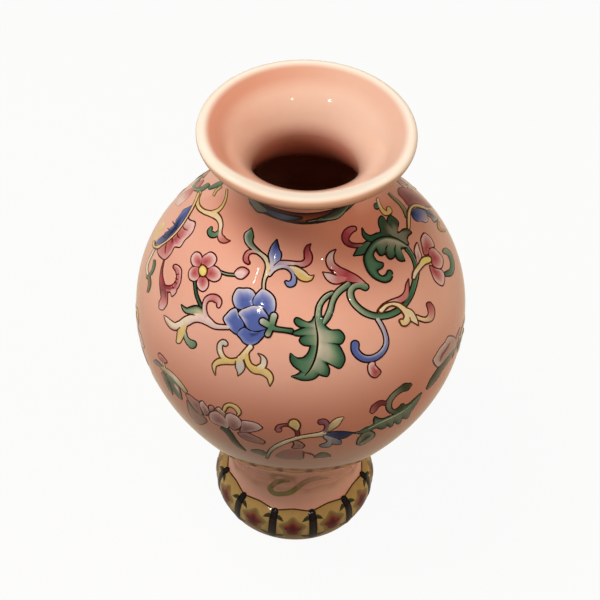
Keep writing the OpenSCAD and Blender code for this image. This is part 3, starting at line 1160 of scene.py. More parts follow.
YELLOW_FORK = {
    "grey curl": Stroke("yellow yellow straw pearl pearl", [
        (229, 361, 5), (224, 358, 5), (221, 353.5, 5.2), (219.8, 348.5, 5.2), (220.6, 344, 5.4),
        (223.6, 342.3, 5.6), (225.5, 343.8, 5)], line="umber"),
    "left arm": Stroke("yellow yellow cream", [
        (240, 359.5, 5), (234, 361.3, 6), (226, 361.3, 6), (219, 361.8, 6.6), (214.7, 365, 4.8),
        (214.4, 370, 2.6), (215.4, 374.8, 0.4)], line="umber"),
    "grey fin": Stroke("yellow straw pearl pearl", [
        (259, 369, 8), (263.2, 365, 6.6), (263.8, 360.5, 6), (262.3, 357, 3.6), (258.4, 353.8, 0.4)],
        line="umber"),
    "middle leaf": Stroke("cream pearl pearl", [
        (239.5, 358, 5), (240, 363, 8.6), (240.3, 368, 9), (239.8, 371.5, 5.6), (238.3, 375.4, 0.4)],
        line="umber"),
    "right branch": Stroke("yellow yellow cream", [
        (246, 355, 6), (247, 360, 5.6), (250, 366, 6.2), (255, 369.5, 7.8), (261, 370.6, 7.6),
        (267, 373.4, 7.6), (270.3, 378, 6.2), (270.3, 382, 4), (270, 385.6, 0.4)], line="umber"),
    "stem": Stroke("straw cream yellow", [
        (250.3, 347, 6), (248, 349.5, 5.8), (244.5, 354.5, 7), (240, 359, 6.4)], line="umber"),
    "left line": Vein([(235.5, 361), (235.3, 364.5)], "umber"),
    "right line": Vein([(243.7, 360), (245, 364.5)], "umber"),
}

LEFT_SCROLL = {
    "green leaf": Stroke("cream sage leaf", [
        (203, 314, 7), (197, 310.3, 9), (191, 310.5, 7.6), (186.5, 310.3, 5), (183.3, 307.5, 2.6),
        (181.6, 304.9, 0.3)], right="forest"),
    "yellow tine": Stroke("cream yellow cream", [
        (184, 325, 7), (181.8, 331, 8.2), (180.2, 337, 6.6), (178.8, 341, 5)], line="umber"),
    "green curl": Stroke("pearl sage leaf", [
        (185.4, 333, 2.6), (185.8, 337, 3.6), (188.6, 341.5, 5.6), (192.5, 344.4, 8)]),
    "curl": Stroke("shell shell rose blush", [
        (205, 318, 8), (204.4, 310, 4.6), (204.7, 304.5, 4.4), (207.3, 299.3, 5.6), (212, 297.6, 6.8),
        (216.5, 299, 7.4), (219, 302.5, 6), (218.6, 306, 3.6)], right="shell rose crimson", line="wine"),
    "main": Stroke("pearl shell blush straw straw blush", [
        (228, 327.3, 4.6), (214.5, 325.8, 6), (207.5, 321, 8.5), (201, 317, 11.5), (194, 318, 9),
        (187, 321, 9.5), (181, 325, 9), (174.5, 326.3, 7.6), (169, 322, 5.4), (166, 318, 3),
        (164.3, 315.6, 0.4)], left="pearl shell rose", line="wine"),
    "leaf line": Vein([(189.5, 314.5), (195, 315)], "wine"),
    "tine line": Vein([(177.3, 330), (180, 327.5)], "wine"),
}

TULIP = {
    "lower petal": Stroke("pearl shell rose rose", [
        (323, 272.4, 0.4), (328, 276, 7), (335, 279.5, 9), (344, 278, 8)], line="wine"),
    "upper petal": Stroke("pearl shell rose crimson rose blush", [
        (335.4, 249.8, 0.4), (331.5, 254, 5), (329.8, 259, 7.6), (331, 264.5, 8), (336, 269.5, 8.5),
        (345, 275.5, 11), (355, 279, 8), (366.5, 284, 0.6)], line="wine"),
    "petal line": Vein([(330, 269.3), (333, 270.5), (335.7, 271.5)], "wine"),
}

RIGHT_SCROLL = {
    "pink leaf": Stroke("shell blush rose rose maroon", [
        (380, 311.5, 5.6), (383.5, 307.5, 6), (389, 303.6, 5.4), (395, 301.5, 6), (401, 299.5, 6.6),
        (405.3, 296, 6.6), (407, 290.5, 4.4), (407.3, 285, 3.2), (408.5, 279, 0.3)], line="wine"),
    "fork curl": Stroke("straw cream yellow", [
        (406.5, 312.8, 7), (407.4, 316, 7), (406.5, 320, 7), (403.4, 322.6, 7), (401.4, 321.2, 4.4)],
        line="umber", layer=1),
    "fork tine": Stroke("cream straw", [
        (405, 311, 7), (408.5, 313.5, 8.6), (412, 317.5, 7.6), (415, 321, 4.8), (417.8, 325, 0.4)],
        line="umber", layer=1),
    "fork stem": Stroke("straw cream cream", [
        (381, 310.5, 5), (386, 305.8, 4), (392, 304, 3.6), (397.5, 305, 4.6), (402.5, 308.5, 5.6),
        (406.5, 312.8, 7)], line="umber", layer=1),
    "twig": Stroke("cream cream rose maroon", [
        (416.5, 317.2, 4.6), (421, 318.9, 4.4), (425.5, 319.8, 5.2), (429.6, 318.2, 6.6),
        (431.4, 313.5, 6.4), (430.8, 308.5, 6.6), (429, 304.6, 5.4)], line="wine"),
    "blue curl": Stroke("pearl lilac periwinkle cobalt cobalt cobalt", [
        (377.8, 319.5, 4.6), (381.4, 325.5, 4.6), (384.4, 332, 4.4), (386, 338, 4.6), (386, 344.5, 5),
        (383.2, 350.5, 5.6), (378, 355.6, 6.2), (371.5, 358.5, 6.6), (364.5, 358.5, 7), (358.5, 355, 7.4),
        (355, 349.5, 7.6), (355, 344.5, 8)], right="pearl mist lilac cobalt"),
    "pink drop": pink_petal((375, 371), [
        (369.2, 363), (368, 370.5), (371.5, 376.5), (374.5, 377.7), (380.7, 371.5), (377, 367.2),
        (375.2, 365), (374.5, 362), (372, 361.5)]),
    "stem": Stroke("leaf sage sage leaf leaf forest leaf forest forest", [
        (365.2, 287, 7), (360, 285.3, 6.4), (354, 286.6, 6.4), (350.6, 291, 6.6), (350.6, 296, 6.6),
        (353.2, 302, 6.2), (358.5, 308, 6.2), (366, 313.2, 6.4), (374, 315.8, 6.2), (382, 316, 6.4),
        (390, 314.5, 6.4), (396.5, 311.5, 6.4), (401, 308.5, 5.6), (405.8, 303.5, 4.6), (410, 296.5, 5),
        (413, 288.5, 5.2), (415.3, 279.5, 5.2), (416.5, 270, 5), (414.5, 261.5, 4), (411.5, 255, 4),
        (406.5, 248, 5)], left="leaf forest forest leaf leaf",
        right="sage celadon sage leaf leaf sage celadon"),
    "fork line": Vein([(409.2, 317.5), (410, 321)], "umber", layer=1),
}

# Middle of the green scroll, from its stem to its curled end
C_RIB = [(406, 247), (395, 241), (385, 239.5), (377, 243), (370.5, 249.5), (367, 256.5), (368, 264),
         (372.5, 272), (379, 278), (386, 279.5), (390, 276)]

C_SCROLL = {
    "small leaf": Petal("forest forest leaf", (376.5, 206), [
        (374.5, 204), (377.5, 203.5), (379, 206.5), (377.5, 209), (374.5, 208)]),
    "yellow curl": Stroke("straw yellow yellow", [
        (377.5, 199, 2.4), (379.3, 205, 3), (382.3, 210.5, 4), (386, 213.2, 5), (389.3, 211.5, 5.4),
        (388.5, 208.5, 4)], line="umber"),
    "pink curl": Stroke("rose maroon crimson rose", [
        (361, 245.3, 3.4), (355, 245.6, 4), (349.5, 244.2, 4.6), (346, 240.8, 6), (345.6, 236.5, 7.4),
        (348, 232, 7.4), (352, 229.3, 6), (353.8, 228.8, 5)], line="wine"),
    "lower leaf": Stroke("leaf forest", [(368, 244, 6), (361, 250.5, 9), (354.2, 255.2, 1)]),
    "spike": Stroke("pine pine forest forest pine", [
        (400, 242, 5), (390, 235.5, 7), (380, 236, 7), (370, 238.5, 6), (364.5, 235, 4), (362, 228.2, 0.4)]),
    "crest": Petal("moss moss pine forest", (396, 235), [
        (380, 240), (380.5, 231), (378.3, 222), (379.3, 218), (381.5, 216), (384, 218), (385.5, 223),
        (387, 226), (387, 223), (388, 217.5), (390.5, 215.5), (394, 217.5), (397, 220), (398.5, 223),
        (395.5, 224.6), (395, 228), (400, 232.5), (403, 229.5), (406, 228.8), (408.5, 229.5), (411.5, 232.5),
        (408.5, 235.5), (407, 239), (408.5, 244), (400, 244), (390, 242)]),
    "outer half": Leaf(
        ("celadon sage leaf", "sage leaf pine", "leaf forest", "leaf forest", "leaf forest"), C_RIB, [
        (406.5, 245.5, 0), (404.5, 244, 0.03), (395, 238.5, 0.14), (385, 236.8, 0.26), (375, 240, 0.375),
        (369, 246.5, 0.47), (365.5, 252.5, 0.53), (364, 256.5, 0.57), (365, 265, 0.66), (370, 274.5, 0.77),
        (378, 280.5, 0.86), (386, 282.3, 0.94), (390.5, 280, 0.98), (392.2, 275.5, 1)], layer=1),
    "inner half": Leaf(
        ("celadon sage leaf forest", "celadon moss leaf pine", "leaf leaf forest", "leaf leaf forest",
         "leaf forest"), C_RIB, [
        (405.5, 248.3, 0), (401, 249, 0.05), (400.3, 251, 0.08), (401.8, 255.5, 0.11),
        *sharp(404.5, 260.8, 0.13), (401.5, 261.3, 0.14), (396.5, 258.5, 0.16), *sharp(395, 254.5, 0.175),
        (393.5, 257.5, 0.18), (389.8, 259.2, 0.21), (386.5, 256, 0.24), *sharp(385.5, 252, 0.26),
        (383.5, 254.8, 0.285), (380, 255.5, 0.31), (377.8, 253, 0.34), *sharp(376, 248.8, 0.38),
        (373, 254.5, 0.5), (376.5, 261, 0.6), (383, 264, 0.64), (382, 267.5, 0.66), *sharp(377, 270.3, 0.7),
        (377.6, 272.8, 0.74), (383, 276.3, 0.85), (385.6, 274.8, 0.92), (388.5, 270.4, 0.95),
        (391, 271, 0.97), (392.2, 274.5, 1)], layer=1),
    "first line": Vein([(385.2, 251), (385.8, 247.5), (387.3, 245.5)], layer=1),
    "second line": Vein([(394.6, 253.5), (394.2, 249.5), (395, 245.3)], layer=1),
}

RIGHT_FLOWER = {
    "green curl": Stroke("sage leaf leaf forest", [
        (445.5, 251, 6), (448.3, 252.8, 5), (450.8, 257.5, 4), (452.2, 263.5, 4), (452, 269, 4.5),
        (449.5, 273, 6), (446.2, 274, 4.5)]),
    "small petal": Petal("rose blush blush", (417.8, 256), [
        (417, 242.7), (414.3, 249), (415.5, 256.5), (418, 265), (421.5, 257), (419.5, 250)], "wine"),
    "top petal": pink_petal((426.5, 249), [
        (424.5, 233), (421.2, 237.5), (422, 246.5), (425.5, 255.2), (428, 254.5), (429.2, 248.5),
        (434, 246.7), (432.5, 241), (427.5, 234.7)]),
    "right petal": pink_petal((434, 258), [
        (429.5, 248.5), (433, 247.7), (437.5, 251.5), (442.7, 258.5), (443, 262.5), (440.5, 268.6),
        (436.5, 268.2), (432, 264), (431.5, 260), (428.7, 255)]),
    "bottom petal": pink_petal((434.5, 271.5), [
        (430, 265.5), (435, 268), (441.5, 270), (444.5, 280), (442.5, 285.7), (436.5, 282.5), (431.7, 274)]),
    "pistil": Stroke("straw straw cream lemon lemon", [
        (413.4, 278, 3), (415, 273, 4.6), (418, 268.5, 5), (421, 264.5, 5.6), (424, 261, 7.5),
        (427.5, 260, 7)], line="umber", layer=1),
}

UPPER_LOTUS = {
    "stem": Stroke("olive khaki olive", [
        (406.3, 217, 2), (403.8, 209, 3.4), (399.5, 203.5, 3), (394, 198.5, 2.6), (389, 194, 2)]),
    "pink petals": Petal("maroon crimson rose", (411, 198), [
        (398.5, 189), (409, 189), (417, 194), (424, 200), (431, 207), (424, 206), (415, 203.5), (409.5, 206),
        (403, 199), (398.5, 193.5)], "wine"),
    "far heart": Petal("navy slate pearl", (429, 213), [
        (423, 208.5), (430, 210.5), (434, 214), (437.5, 219.5), (434.5, 222), (430.5, 217.5), (426, 214.5)]),
    "blue heart": Stroke("navy navy cobalt lilac mist", [
        (411.8, 211.5, 5), (415, 213, 10.5), (419, 215, 13), (422.5, 217, 11.5), (425, 219.7, 6)]),
    "far curl": Stroke("khaki ochre khaki", [
        (438, 222, 2), (438.5, 227, 2.4), (441.5, 230.5, 2.4), (444.5, 231, 2)], line="umber"),
    "rim": Stroke("yellow cream yellow straw", [
        (408.3, 228.5, 2.4), (408.3, 220, 2.8), (408.8, 212.5, 3), (411, 207.5, 3), (415.5, 205.7, 3),
        (421, 207, 2.6), (427, 209.5, 2)], line="umber", layer=1),
}

LEFT_LOTUS = {
    "far petal": Stroke("crimson rose blush shell", [
        (193, 189, 3), (188, 193.5, 6), (182, 199, 6.5), (178, 203.8, 4.5)], line="rose"),
    "top petal": Stroke("crimson rose", [
        (203, 180.5, 2), (199, 184.5, 4), (195.5, 188.5, 2.6)], line="maroon"),
    "far rim": Stroke("cream yellow cream", [
        (154.8, 240, 2), (157.6, 233.5, 3.2), (160.6, 228, 3.4), (163.6, 223, 2)], line="cream"),
    "blue heart": Petal("navy navy cobalt cobalt", (174, 228), [
        (192, 206), (187, 208), (183.5, 209.8), (181, 213.5), (178.5, 217), (176.5, 219.5), (175.5, 223),
        (173, 226.5), (170.5, 228), (168.5, 231), (165, 233), (163.5, 236), (159.5, 238.5), (156, 243.5),
        (161, 243.5), (171, 235.5), (180.5, 225), (186.5, 215.5), (191.5, 207)], "slate"),
    "fringe": pink_petal((175, 239), [
        (157.5, 249.5), (167, 242.5), (178, 232.5), (186, 221), (188, 217), (189.2, 219.5), (195, 222.2),
        (194, 229), (189, 236.5), (185.5, 239.5), (182.5, 244), (180, 247.2), (174.5, 247.2), (172.5, 251),
        (170, 255), (164, 259.5), (161.5, 258), (157.5, 251)]),
    "rim": Stroke("yellow cream cream yellow", [
        (154.6, 241.5, 1.6), (154.3, 246, 2.4), (157, 247.6, 3), (161.5, 245.3, 2), (172, 237.4, 1.8),
        (181.6, 226.4, 1.8), (188, 216.5, 1.6), (194.3, 205, 2), (199, 194, 2.4)], line="umber", layer=1),
    "first vein": Vein([(167, 243), (166, 247), (165.5, 253.5)], "wine"),
    "second vein": Vein([(173, 238), (172.5, 240.5), (172.7, 243.5)], "wine"),
    "third vein": Vein([(177.2, 232.5), (178.2, 236.5), (180.5, 238.7)], "wine"),
    "fourth vein": Vein([(183.2, 226.5), (184.5, 229), (188, 230.5)], "wine"),
    "first notch": Vein([(168.2, 228.5), (171, 232)]),
    "second notch": Vein([(163.2, 236), (165.5, 238)]),
    "third notch": Vein([(173.2, 222), (175, 225)]),
}

ROSE_LEAF = {
    "tendril": Stroke("olive leaf olive", [
        (154.6, 261, 2.4), (154, 266, 2.6), (152.5, 271, 2.4), (149.5, 275.5, 2.6), (147.8, 277.5, 3)]),
    "thin stem": Stroke("straw", [
        (154.5, 249, 2), (151, 256, 2), (148.3, 262, 2), (147, 268, 2), (147.5, 274, 2.4)]),
    "low stem": Stroke("olive", [(149.3, 278, 2.6), (149.8, 283, 2.8), (149, 288, 2.6), (148, 291.5, 2)]),
    "stem": Stroke("maroon maroon crimson maroon rose blush", [
        (164, 260.5, 1), (162, 269, 1.8), (161.5, 277, 3), (162.3, 284, 5), (164, 291, 7.2),
        (164.4, 298, 6.6), (163, 304, 8), (162, 307, 6)], line="wine"),
    "lower lobe": Stroke("rose blush", [(173.5, 288, 7), (173.2, 292, 6), (172.2, 295.8, 1.5)], line="wine"),
    "side lobe": Stroke("maroon crimson rose rose", [
        (164, 288, 6), (168.5, 289, 6), (173.5, 288, 6.5), (177.8, 282.5, 5), (179, 275.5, 4.8),
        (177.8, 269, 6), (175.8, 267, 5)], right="rose blush", line="wine"),
    "first tooth": Vein([(176.5, 274.5), (179.2, 274.2)], "wine"),
    "second tooth": Vein([(176, 278.5), (178, 279.5)], "wine"),
    "third tooth": Vein([(175, 282), (177, 283.5)], "wine"),
    "fourth tooth": Vein([(172, 285), (174, 288.5)], "wine"),
    "stem streak": Vein([(164.5, 284), (165.5, 290), (165.5, 298)], "maroon", width=0.9),
}

TENDRIL = {
    "leaf by the lip": Stroke("forest leaf forest", [(198.5, 192, 3), (203, 188.5, 4), (208, 185, 4)]),
    "second leaf": Stroke("forest leaf", [(209.5, 188.5, 2.5), (215, 186, 4), (221, 183, 4)]),
    "small curl": Stroke("yellow khaki", [(214, 195, 2), (216, 191, 2.4), (221, 187, 2.4)], line="umber"),
    "green curl": Stroke("sage leaf leaf", [
        (219.8, 231, 3), (216.5, 234.3, 4.4), (212, 234.6, 6), (209.8, 231.4, 5), (211.2, 228, 2.6)]),
    "thin arm": Stroke("cream yellow yellow", [
        (213, 212.5, 4), (218, 210.5, 3.6), (222, 206.5, 2.8), (225, 201, 2.4), (226.6, 195, 2),
        (227, 190, 1.8)], line="umber"),
    "main": Stroke("yellow yellow cream cream straw rose crimson", [
        (200.2, 192.5, 2.8), (198.5, 197, 2.8), (197.5, 202.5, 3.6), (199, 207.5, 4.4), (204, 211.6, 4.6),
        (210, 213.6, 5.6), (215.5, 215.4, 7), (219, 219, 5.6), (220.8, 224.5, 4.4), (220.2, 230, 3.8),
        (220, 235, 4.8), (222, 239, 7), (225.5, 240.8, 4.6), (229.8, 240.8, 0.4)], line="umber"),
}

LOWER_LOTUS = {
    "bud leaf": Stroke("slate moss", [(155.5, 361, 3), (158, 363.5, 3.4), (161, 366, 2)]),
    "bud stem": Stroke("straw", [(163.5, 362.5, 1.2), (164.2, 365, 1.2), (165, 368, 1.2)], line="umber"),
    "bud": Petal("maroon rose rose", (162.5, 358.5), [
        (158.3, 354), (159.5, 353), (162, 355), (165, 358.5), (167, 362.5), (165.5, 363), (162.5, 361),
        (159.5, 358)], "wine"),
    "narrow blade": Stroke("moss pine moss", [
        (162.5, 372.5, 2), (166, 378, 4.4), (168.5, 384, 4), (171, 390, 2.6), (173, 394.5, 0.6)]),
    "blade": Stroke("moss leaf moss", [
        (168, 375, 3), (172.5, 381, 6), (176, 388, 7), (179, 394, 5), (181.5, 398.5, 2)], left="moss",
        right="pine"),
    "blade streak": Stroke("rose shell rose", [
        (175, 384, 1.4), (178, 388.5, 2.4), (180, 392.5, 1.2)], line="moss", layer=1),
    "stem": Stroke("khaki straw khaki", [
        (162, 367.5, 3), (168, 371.5, 4), (174, 377, 4), (180, 384, 4), (186, 391.5, 3)], line="umber"),
    "olive leaf": Stroke("olive moss olive", [
        (252, 450.5, 2), (258, 451.5, 4), (264, 453.5, 4), (267, 455, 1.5)], line="pine"),
    "sepal": Stroke("forest pine olive", [
        (221.5, 428, 2.4), (226, 429.8, 4.4), (230, 434, 5), (234, 440, 4.6), (239, 445.5, 3.6),
        (245.5, 450.5, 1)]),
    "dim petal": Petal("dusk dusk moss", (195, 415), [
        (187.5, 400), (191, 405), (197, 411.5), (203, 415.5), (207, 421), (200, 424.5), (193, 419),
        (188.5, 410)], "maroon"),
    "far left petal": dull_petal("dusk", (196, 405), [
        (186, 393.5), (190, 395), (195, 399), (199, 402), (201, 408), (203, 415), (197, 411), (191, 404),
        (187.5, 398)]),
    "left petal": dull_petal("shell", (206, 411), [
        (199.5, 404), (200, 401.5), (202.5, 401), (205, 404), (208, 408), (209.5, 413), (206, 415.5),
        (202, 410)]),
    "small petal": dull_petal("dusk", (211.5, 409), [
        (208.7, 407), (209, 405.5), (213, 406), (214.5, 409), (210, 411.5)]),
    "low petal": dull_petal("dusk", (246, 436), [
        (238, 433), (248, 433), (255, 436), (262, 439.5), (265, 442), (264, 443.5), (258, 443), (250, 441),
        (243, 438)]),
    "back petal": Petal("khaki dusk shell", (222, 413), [
        (216, 408), (219, 407), (222, 410), (226, 414), (224.5, 417), (220, 413)], "umber"),
    "middle petal": dull_petal("shell", (219, 419.5), [
        (209.5, 413), (216, 411), (222, 415), (227, 420), (229.5, 424), (228.5, 428), (222, 426), (214, 423),
        (209.5, 418)]),
    "tall petal": dull_petal("shell", (233.5, 425), [
        (226.5, 414), (229, 413), (234, 414.5), (239, 418), (241.5, 421), (241.8, 425), (239, 428.5),
        (235, 430), (229.5, 427)]),
    "long petal": dull_petal("shell", (246, 428), [
        (241.5, 421), (248, 421), (256, 423), (261, 426), (262.5, 427.5), (259, 430), (253, 431.5),
        (247, 432.5), (240, 431), (241, 426)]),
    "yellow curl": Stroke("yellow yellow cream", [
        (224.3, 410, 3.6), (225.8, 406.5, 4.4), (229, 404.9, 3.8), (233, 405.8, 3.8), (237.3, 409, 4.4),
        (239.3, 413, 3.6), (238, 415, 2.4)], line="umber"),
}

LOWER_SCROLL = {
    "low petal": Petal("rose dusk dusk", (292, 454), [
        (276, 456), (283, 451), (291, 449), (299, 449.5), (303, 451.5), (303, 458), (292, 459),
        (282, 458.3)], "dusk"),
    "low line": Vein([(303.4, 451), (303.6, 454.5), (303.4, 458)], "wine"),
    "low edge": Vein([(304, 452.3), (309, 453.2), (313.5, 455), (315, 458)], "maroon"),
    "low leaf": Stroke("olive moss olive", [
        (316, 456.5, 2.4), (321, 455, 4.4), (326, 454.8, 4), (330, 455.5, 1.6)], line="pine"),
    "maroon curl": Stroke("maroon maroon rose", [
        (297.8, 435.5, 3.6), (297, 431, 4), (293, 427, 4), (288, 425, 2.6), (283, 425.2, 2.6),
        (278.5, 427.3, 4.4), (277.5, 429.8, 4.6), (280, 430, 3.4)], line="wine"),
    "yellow knob": Petal("yellow yellow cream", (294.5, 424), [
        (288.3, 424.3), (290.5, 419.8), (296.7, 419.6), (300.2, 424.6), (297.5, 430), (293, 427.8)], "umber",
        layer=1),
    "lump": dull_petal("dusk", (298.5, 445), [
        (293, 441), (297, 440.5), (302, 443), (304.5, 445.5), (303, 447.5), (297, 448), (292, 447.5),
        (294, 444.5)]),
    "yellow leaf": Stroke("khaki cream straw", [
        (329, 428.5, 6), (332.5, 425.5, 7), (336.5, 422.3, 7.4), (340, 419.4, 4.6), (343.6, 417.3, 0.4)],
        line="umber"),
    "blue leaf": Stroke("slate navy navy", [
        (324, 434.5, 3), (330, 434.6, 5), (337, 435, 7.4), (343, 434.8, 7), (349, 433.6, 3.6),
        (353.5, 432.7, 0.6)]),
    "grey curl": Stroke("pearl slate", [(326, 436.5, 5), (331, 439.5, 6), (336.5, 441.5, 6), (339, 442, 5)]),
    "low curl": Stroke("pearl slate", [
        (330, 439.5, 5), (329, 443.5, 5.6), (324.5, 445.3, 4), (321, 445.5, 2.6)]),
    "mauve curl": Stroke("straw mauve mauve maroon", [
        (322, 434.4, 4.6), (326.3, 430.3, 5), (327.3, 425, 5.2), (324.5, 421.8, 5.4), (320.3, 422, 5)],
        line="wine"),
    "stem": Stroke("khaki straw cream straw", [
        (267.3, 457, 2.4), (269, 452.5, 3.2), (274, 447.5, 3.6), (281, 443.8, 3.6), (289, 440.6, 3.4),
        (297, 438, 3.4), (305, 436.3, 3.4), (313, 435.2, 3.6), (320, 434.2, 4.4), (324, 433, 5)]),
}

# Middle of the leaf under the belly, from its base to its tip
LOW_RIB = [(354, 433), (364, 430), (372, 427), (380, 422), (390, 417.5), (398, 413.5), (406, 408.5),
           (414, 401.5), (422, 392.5)]

LOWER_LEAF = {
    "maroon curl": Stroke("maroon maroon rose", [
        (386, 403.3, 4), (381.5, 402.8, 4.6), (377, 405, 5.4), (373.8, 408.5, 6), (372.2, 411, 4.6)],
        line="wine"),
    "spade leaf": Petal("pine moss sage", (366, 437.5), [
        (357, 444), (357.5, 440), (360, 436), (365, 432), (371, 431), (375, 434), (373, 438), (368, 441.5),
        (360, 445)]),
    "spade line": Vein([(359, 443), (365, 438.5), (370, 435)]),
    "hook": Stroke("pine pine moss moss pine pine", [
        (410.3, 384.6, 3), (407, 386.3, 7), (401, 389.4, 5.4), (395.5, 393.5, 4.8), (391, 398.5, 5),
        (388.6, 404, 5.6), (389.4, 409, 5.4), (393.5, 411.7, 4.2), (398.5, 410, 4.6), (403, 406.5, 6)]),
    "upper half": Leaf(("pine leaf pine", "celadon moss leaf pine", "moss leaf pine"), LOW_RIB, [
        (354, 432.6, 0), (360, 431, 0.07), (365, 428, 0.15), (371, 425.5, 0.22), (374, 423, 0.26),
        (373.5, 420, 0.28), *sharp(375, 416.5, 0.3), (378, 418, 0.33), (383, 418.5, 0.38),
        (388, 416.5, 0.45), (393, 414.5, 0.52), (400, 410.5, 0.6), (405, 406, 0.7), (410, 402.5, 0.77),
        (415, 398, 0.87), (420, 393.6, 0.96), (422, 392.3, 1)]),
    "lower half": Leaf(("leaf pine", "sage moss leaf pine", "leaf pine"), LOW_RIB, [
        (354, 433.4, 0), (362, 433.5, 0.1), (370, 431, 0.2), *sharp(376, 427.5, 0.28), (380, 428.8, 0.34),
        (384, 428.5, 0.39), *sharp(387, 424.5, 0.43), (391, 427, 0.49), *sharp(394, 421.5, 0.54),
        (399, 424, 0.6), *sharp(402, 417.5, 0.65), (407, 418.5, 0.72), (411, 411, 0.79), (413, 408.5, 0.81),
        (417.5, 402, 0.9), (422, 392.8, 1)]),
    "pale rib": Stroke("sage celadon sage", [
        (368, 428.3, 1), (380, 422.2, 1.8), (392, 416.7, 1.8), (404, 409.9, 1.4), (412, 403.4, 0.8)],
        line="leaf", layer=1),
    "far stem": Stroke("olive pine pine olive", [
        (453, 350, 3), (447, 359.5, 4.6), (441, 367.5, 5), (436, 375.5, 5.6), (431.5, 382, 5),
        (427, 388.5, 2)]),
    "far flower": Petal("dusk dusk shell", (447, 352), [
        (449, 336), (444.5, 342.5), (439.5, 348.5), (436, 354.5), (433, 360), (434, 363.5), (437.5, 367),
        (443, 362), (448.5, 356.5), (453.5, 351), (456.5, 344), (455, 337.5)], "wine"),
    "far streak": Vein([(449.5, 343), (446, 349), (441.5, 355.5), (439.5, 361)], "maroon", width=2),
}

WAIST_CURL = {
    "curl": Stroke("khaki olive khaki khaki olive olive khaki", [
        (289, 480.7, 2.4), (281, 481, 4.4), (273.5, 484.3, 4.6), (270, 488.6, 4.2), (273, 492.6, 3.6),
        (282, 494, 3.6), (291, 492, 4.4), (297, 487.8, 4.8), (303, 483.3, 4.8), (311, 479.6, 4.4),
        (320, 478, 3.4), (328, 477.6, 1.6)], line="khaki"),
}

# Drawings in millimetres round and up from an anchor on the glaze

# The collar's enamels are partly darkened as painted shade, where the lip shades the neck
COLLAR = {
    "band": Stroke("pine maroon rust umber pine", [
        (-21.6, -0.6, 3.8), (-11, 0.2, 3.9), (0, 0.3, 4.3), (11, 0.7, 4), (21, 1.6, 2.4)], left="ink",
        right="wine"),
    "left lobe": Stroke("slate moss slate", [
        (-21.8, -0.4, 2.6), (-18, -0.9, 3.8), (-13.5, -0.1, 1.4)], layer=1),
    "blue leaf": Stroke("navy slate night", [(-13.5, 0, 1.8), (-8, -0.2, 2.8), (-1, 0.6, 0.8)], layer=1),
    "pink line": Stroke("shell", [(1.5, -0.8, 0.6), (4.5, -0.4, 0.7), (7, 0.2, 0.6)], layer=1),
    "long leaf": Stroke("forest pine forest", [
        (3.4, -0.4, 0.6), (8, -0.2, 2.2), (12.5, 0.3, 4), (17.5, 1.7, 1)], left="sage", right="night",
        layer=1),
}


def both_halves(left):
    """An outline from its left half, top to bottom, and the mirror image of that half."""
    return left + [(-x, y) for x, y in left[-2:0:-1]]


def corner_leaves(place, spine):
    """A dark leaf in a panel's right corner, after its mirror image in the left one."""
    return {f"{place} {side} leaf": Stroke("pine", [(way * x, y, wide) for x, y, wide in spine],
                                           line="olive")
            for side, way in (("left", -1), ("right", 1))}


FOOT_PANEL = {
    "ground": Petal("ochre ochre ochre khaki", (0, 9), [
        *sharp(-7, 0.4), *sharp(7, 0.4), (7, 8), *sharp(7, 15.9), (0, 17), *sharp(-7, 15.9), (-7, 8)],
        "umber"),
    "bar": Stroke("night", [(8.4, 1.6, 2.5), (8.4, 8, 2.5), (8.4, 15, 2.5)], layer=1),
    "halo": Petal("umber rust khaki", (0, 8.2), both_halves([
        (0, 13.4), (-2.4, 11.4), (-5.2, 9.4), (-3.6, 6.8), (-3, 3.8), (0, 3)]), "khaki", layer=1),
    "heart": Petal("wine wine maroon", (0, 8), both_halves([
        (0, 10.7), (-1.6, 9.2), (-3, 8.5), (-1.9, 7.1), (-1.5, 5.8), (0, 5.2)]), "maroon", layer=2),
    **corner_leaves("upper", [(6.1, 13, 2.4), (5, 12.4, 2), (3.7, 11.4, 0.5)]),
    **corner_leaves("lower", [(5.8, 2.6, 2.8), (4.6, 3.2, 2.4), (3, 4.2, 0.6)]),
}

# Pieces of the vase

# Ease of the foot ring's edges, the points that it replaces on each curve, and the cove's steps
FOOT_EASE = 0.5 * MM
EASED_POINTS = 4
COVE_STEPS = 16

# Angles on the lip's roll, below its outermost point, between which its brown line of painted shadow runs
LIP_SHADOW = (-60, -22)

# Upward part of a face's direction below which it is an underside
UNDERSIDE = -0.5

# Anchors of the bands, and turns round the axis at which motifs are painted
COLLAR_Z = 177 * MM
FOOT_BAND_Z = 2 * MM
BLOSSOM_TURNS = (0, 184)
LOWER_LOTUS_TURNS = (0, 124, 180, 304)
COLLAR_TURNS = (0, 126, 234)
PANEL_TURNS = range(0, 360, 30)


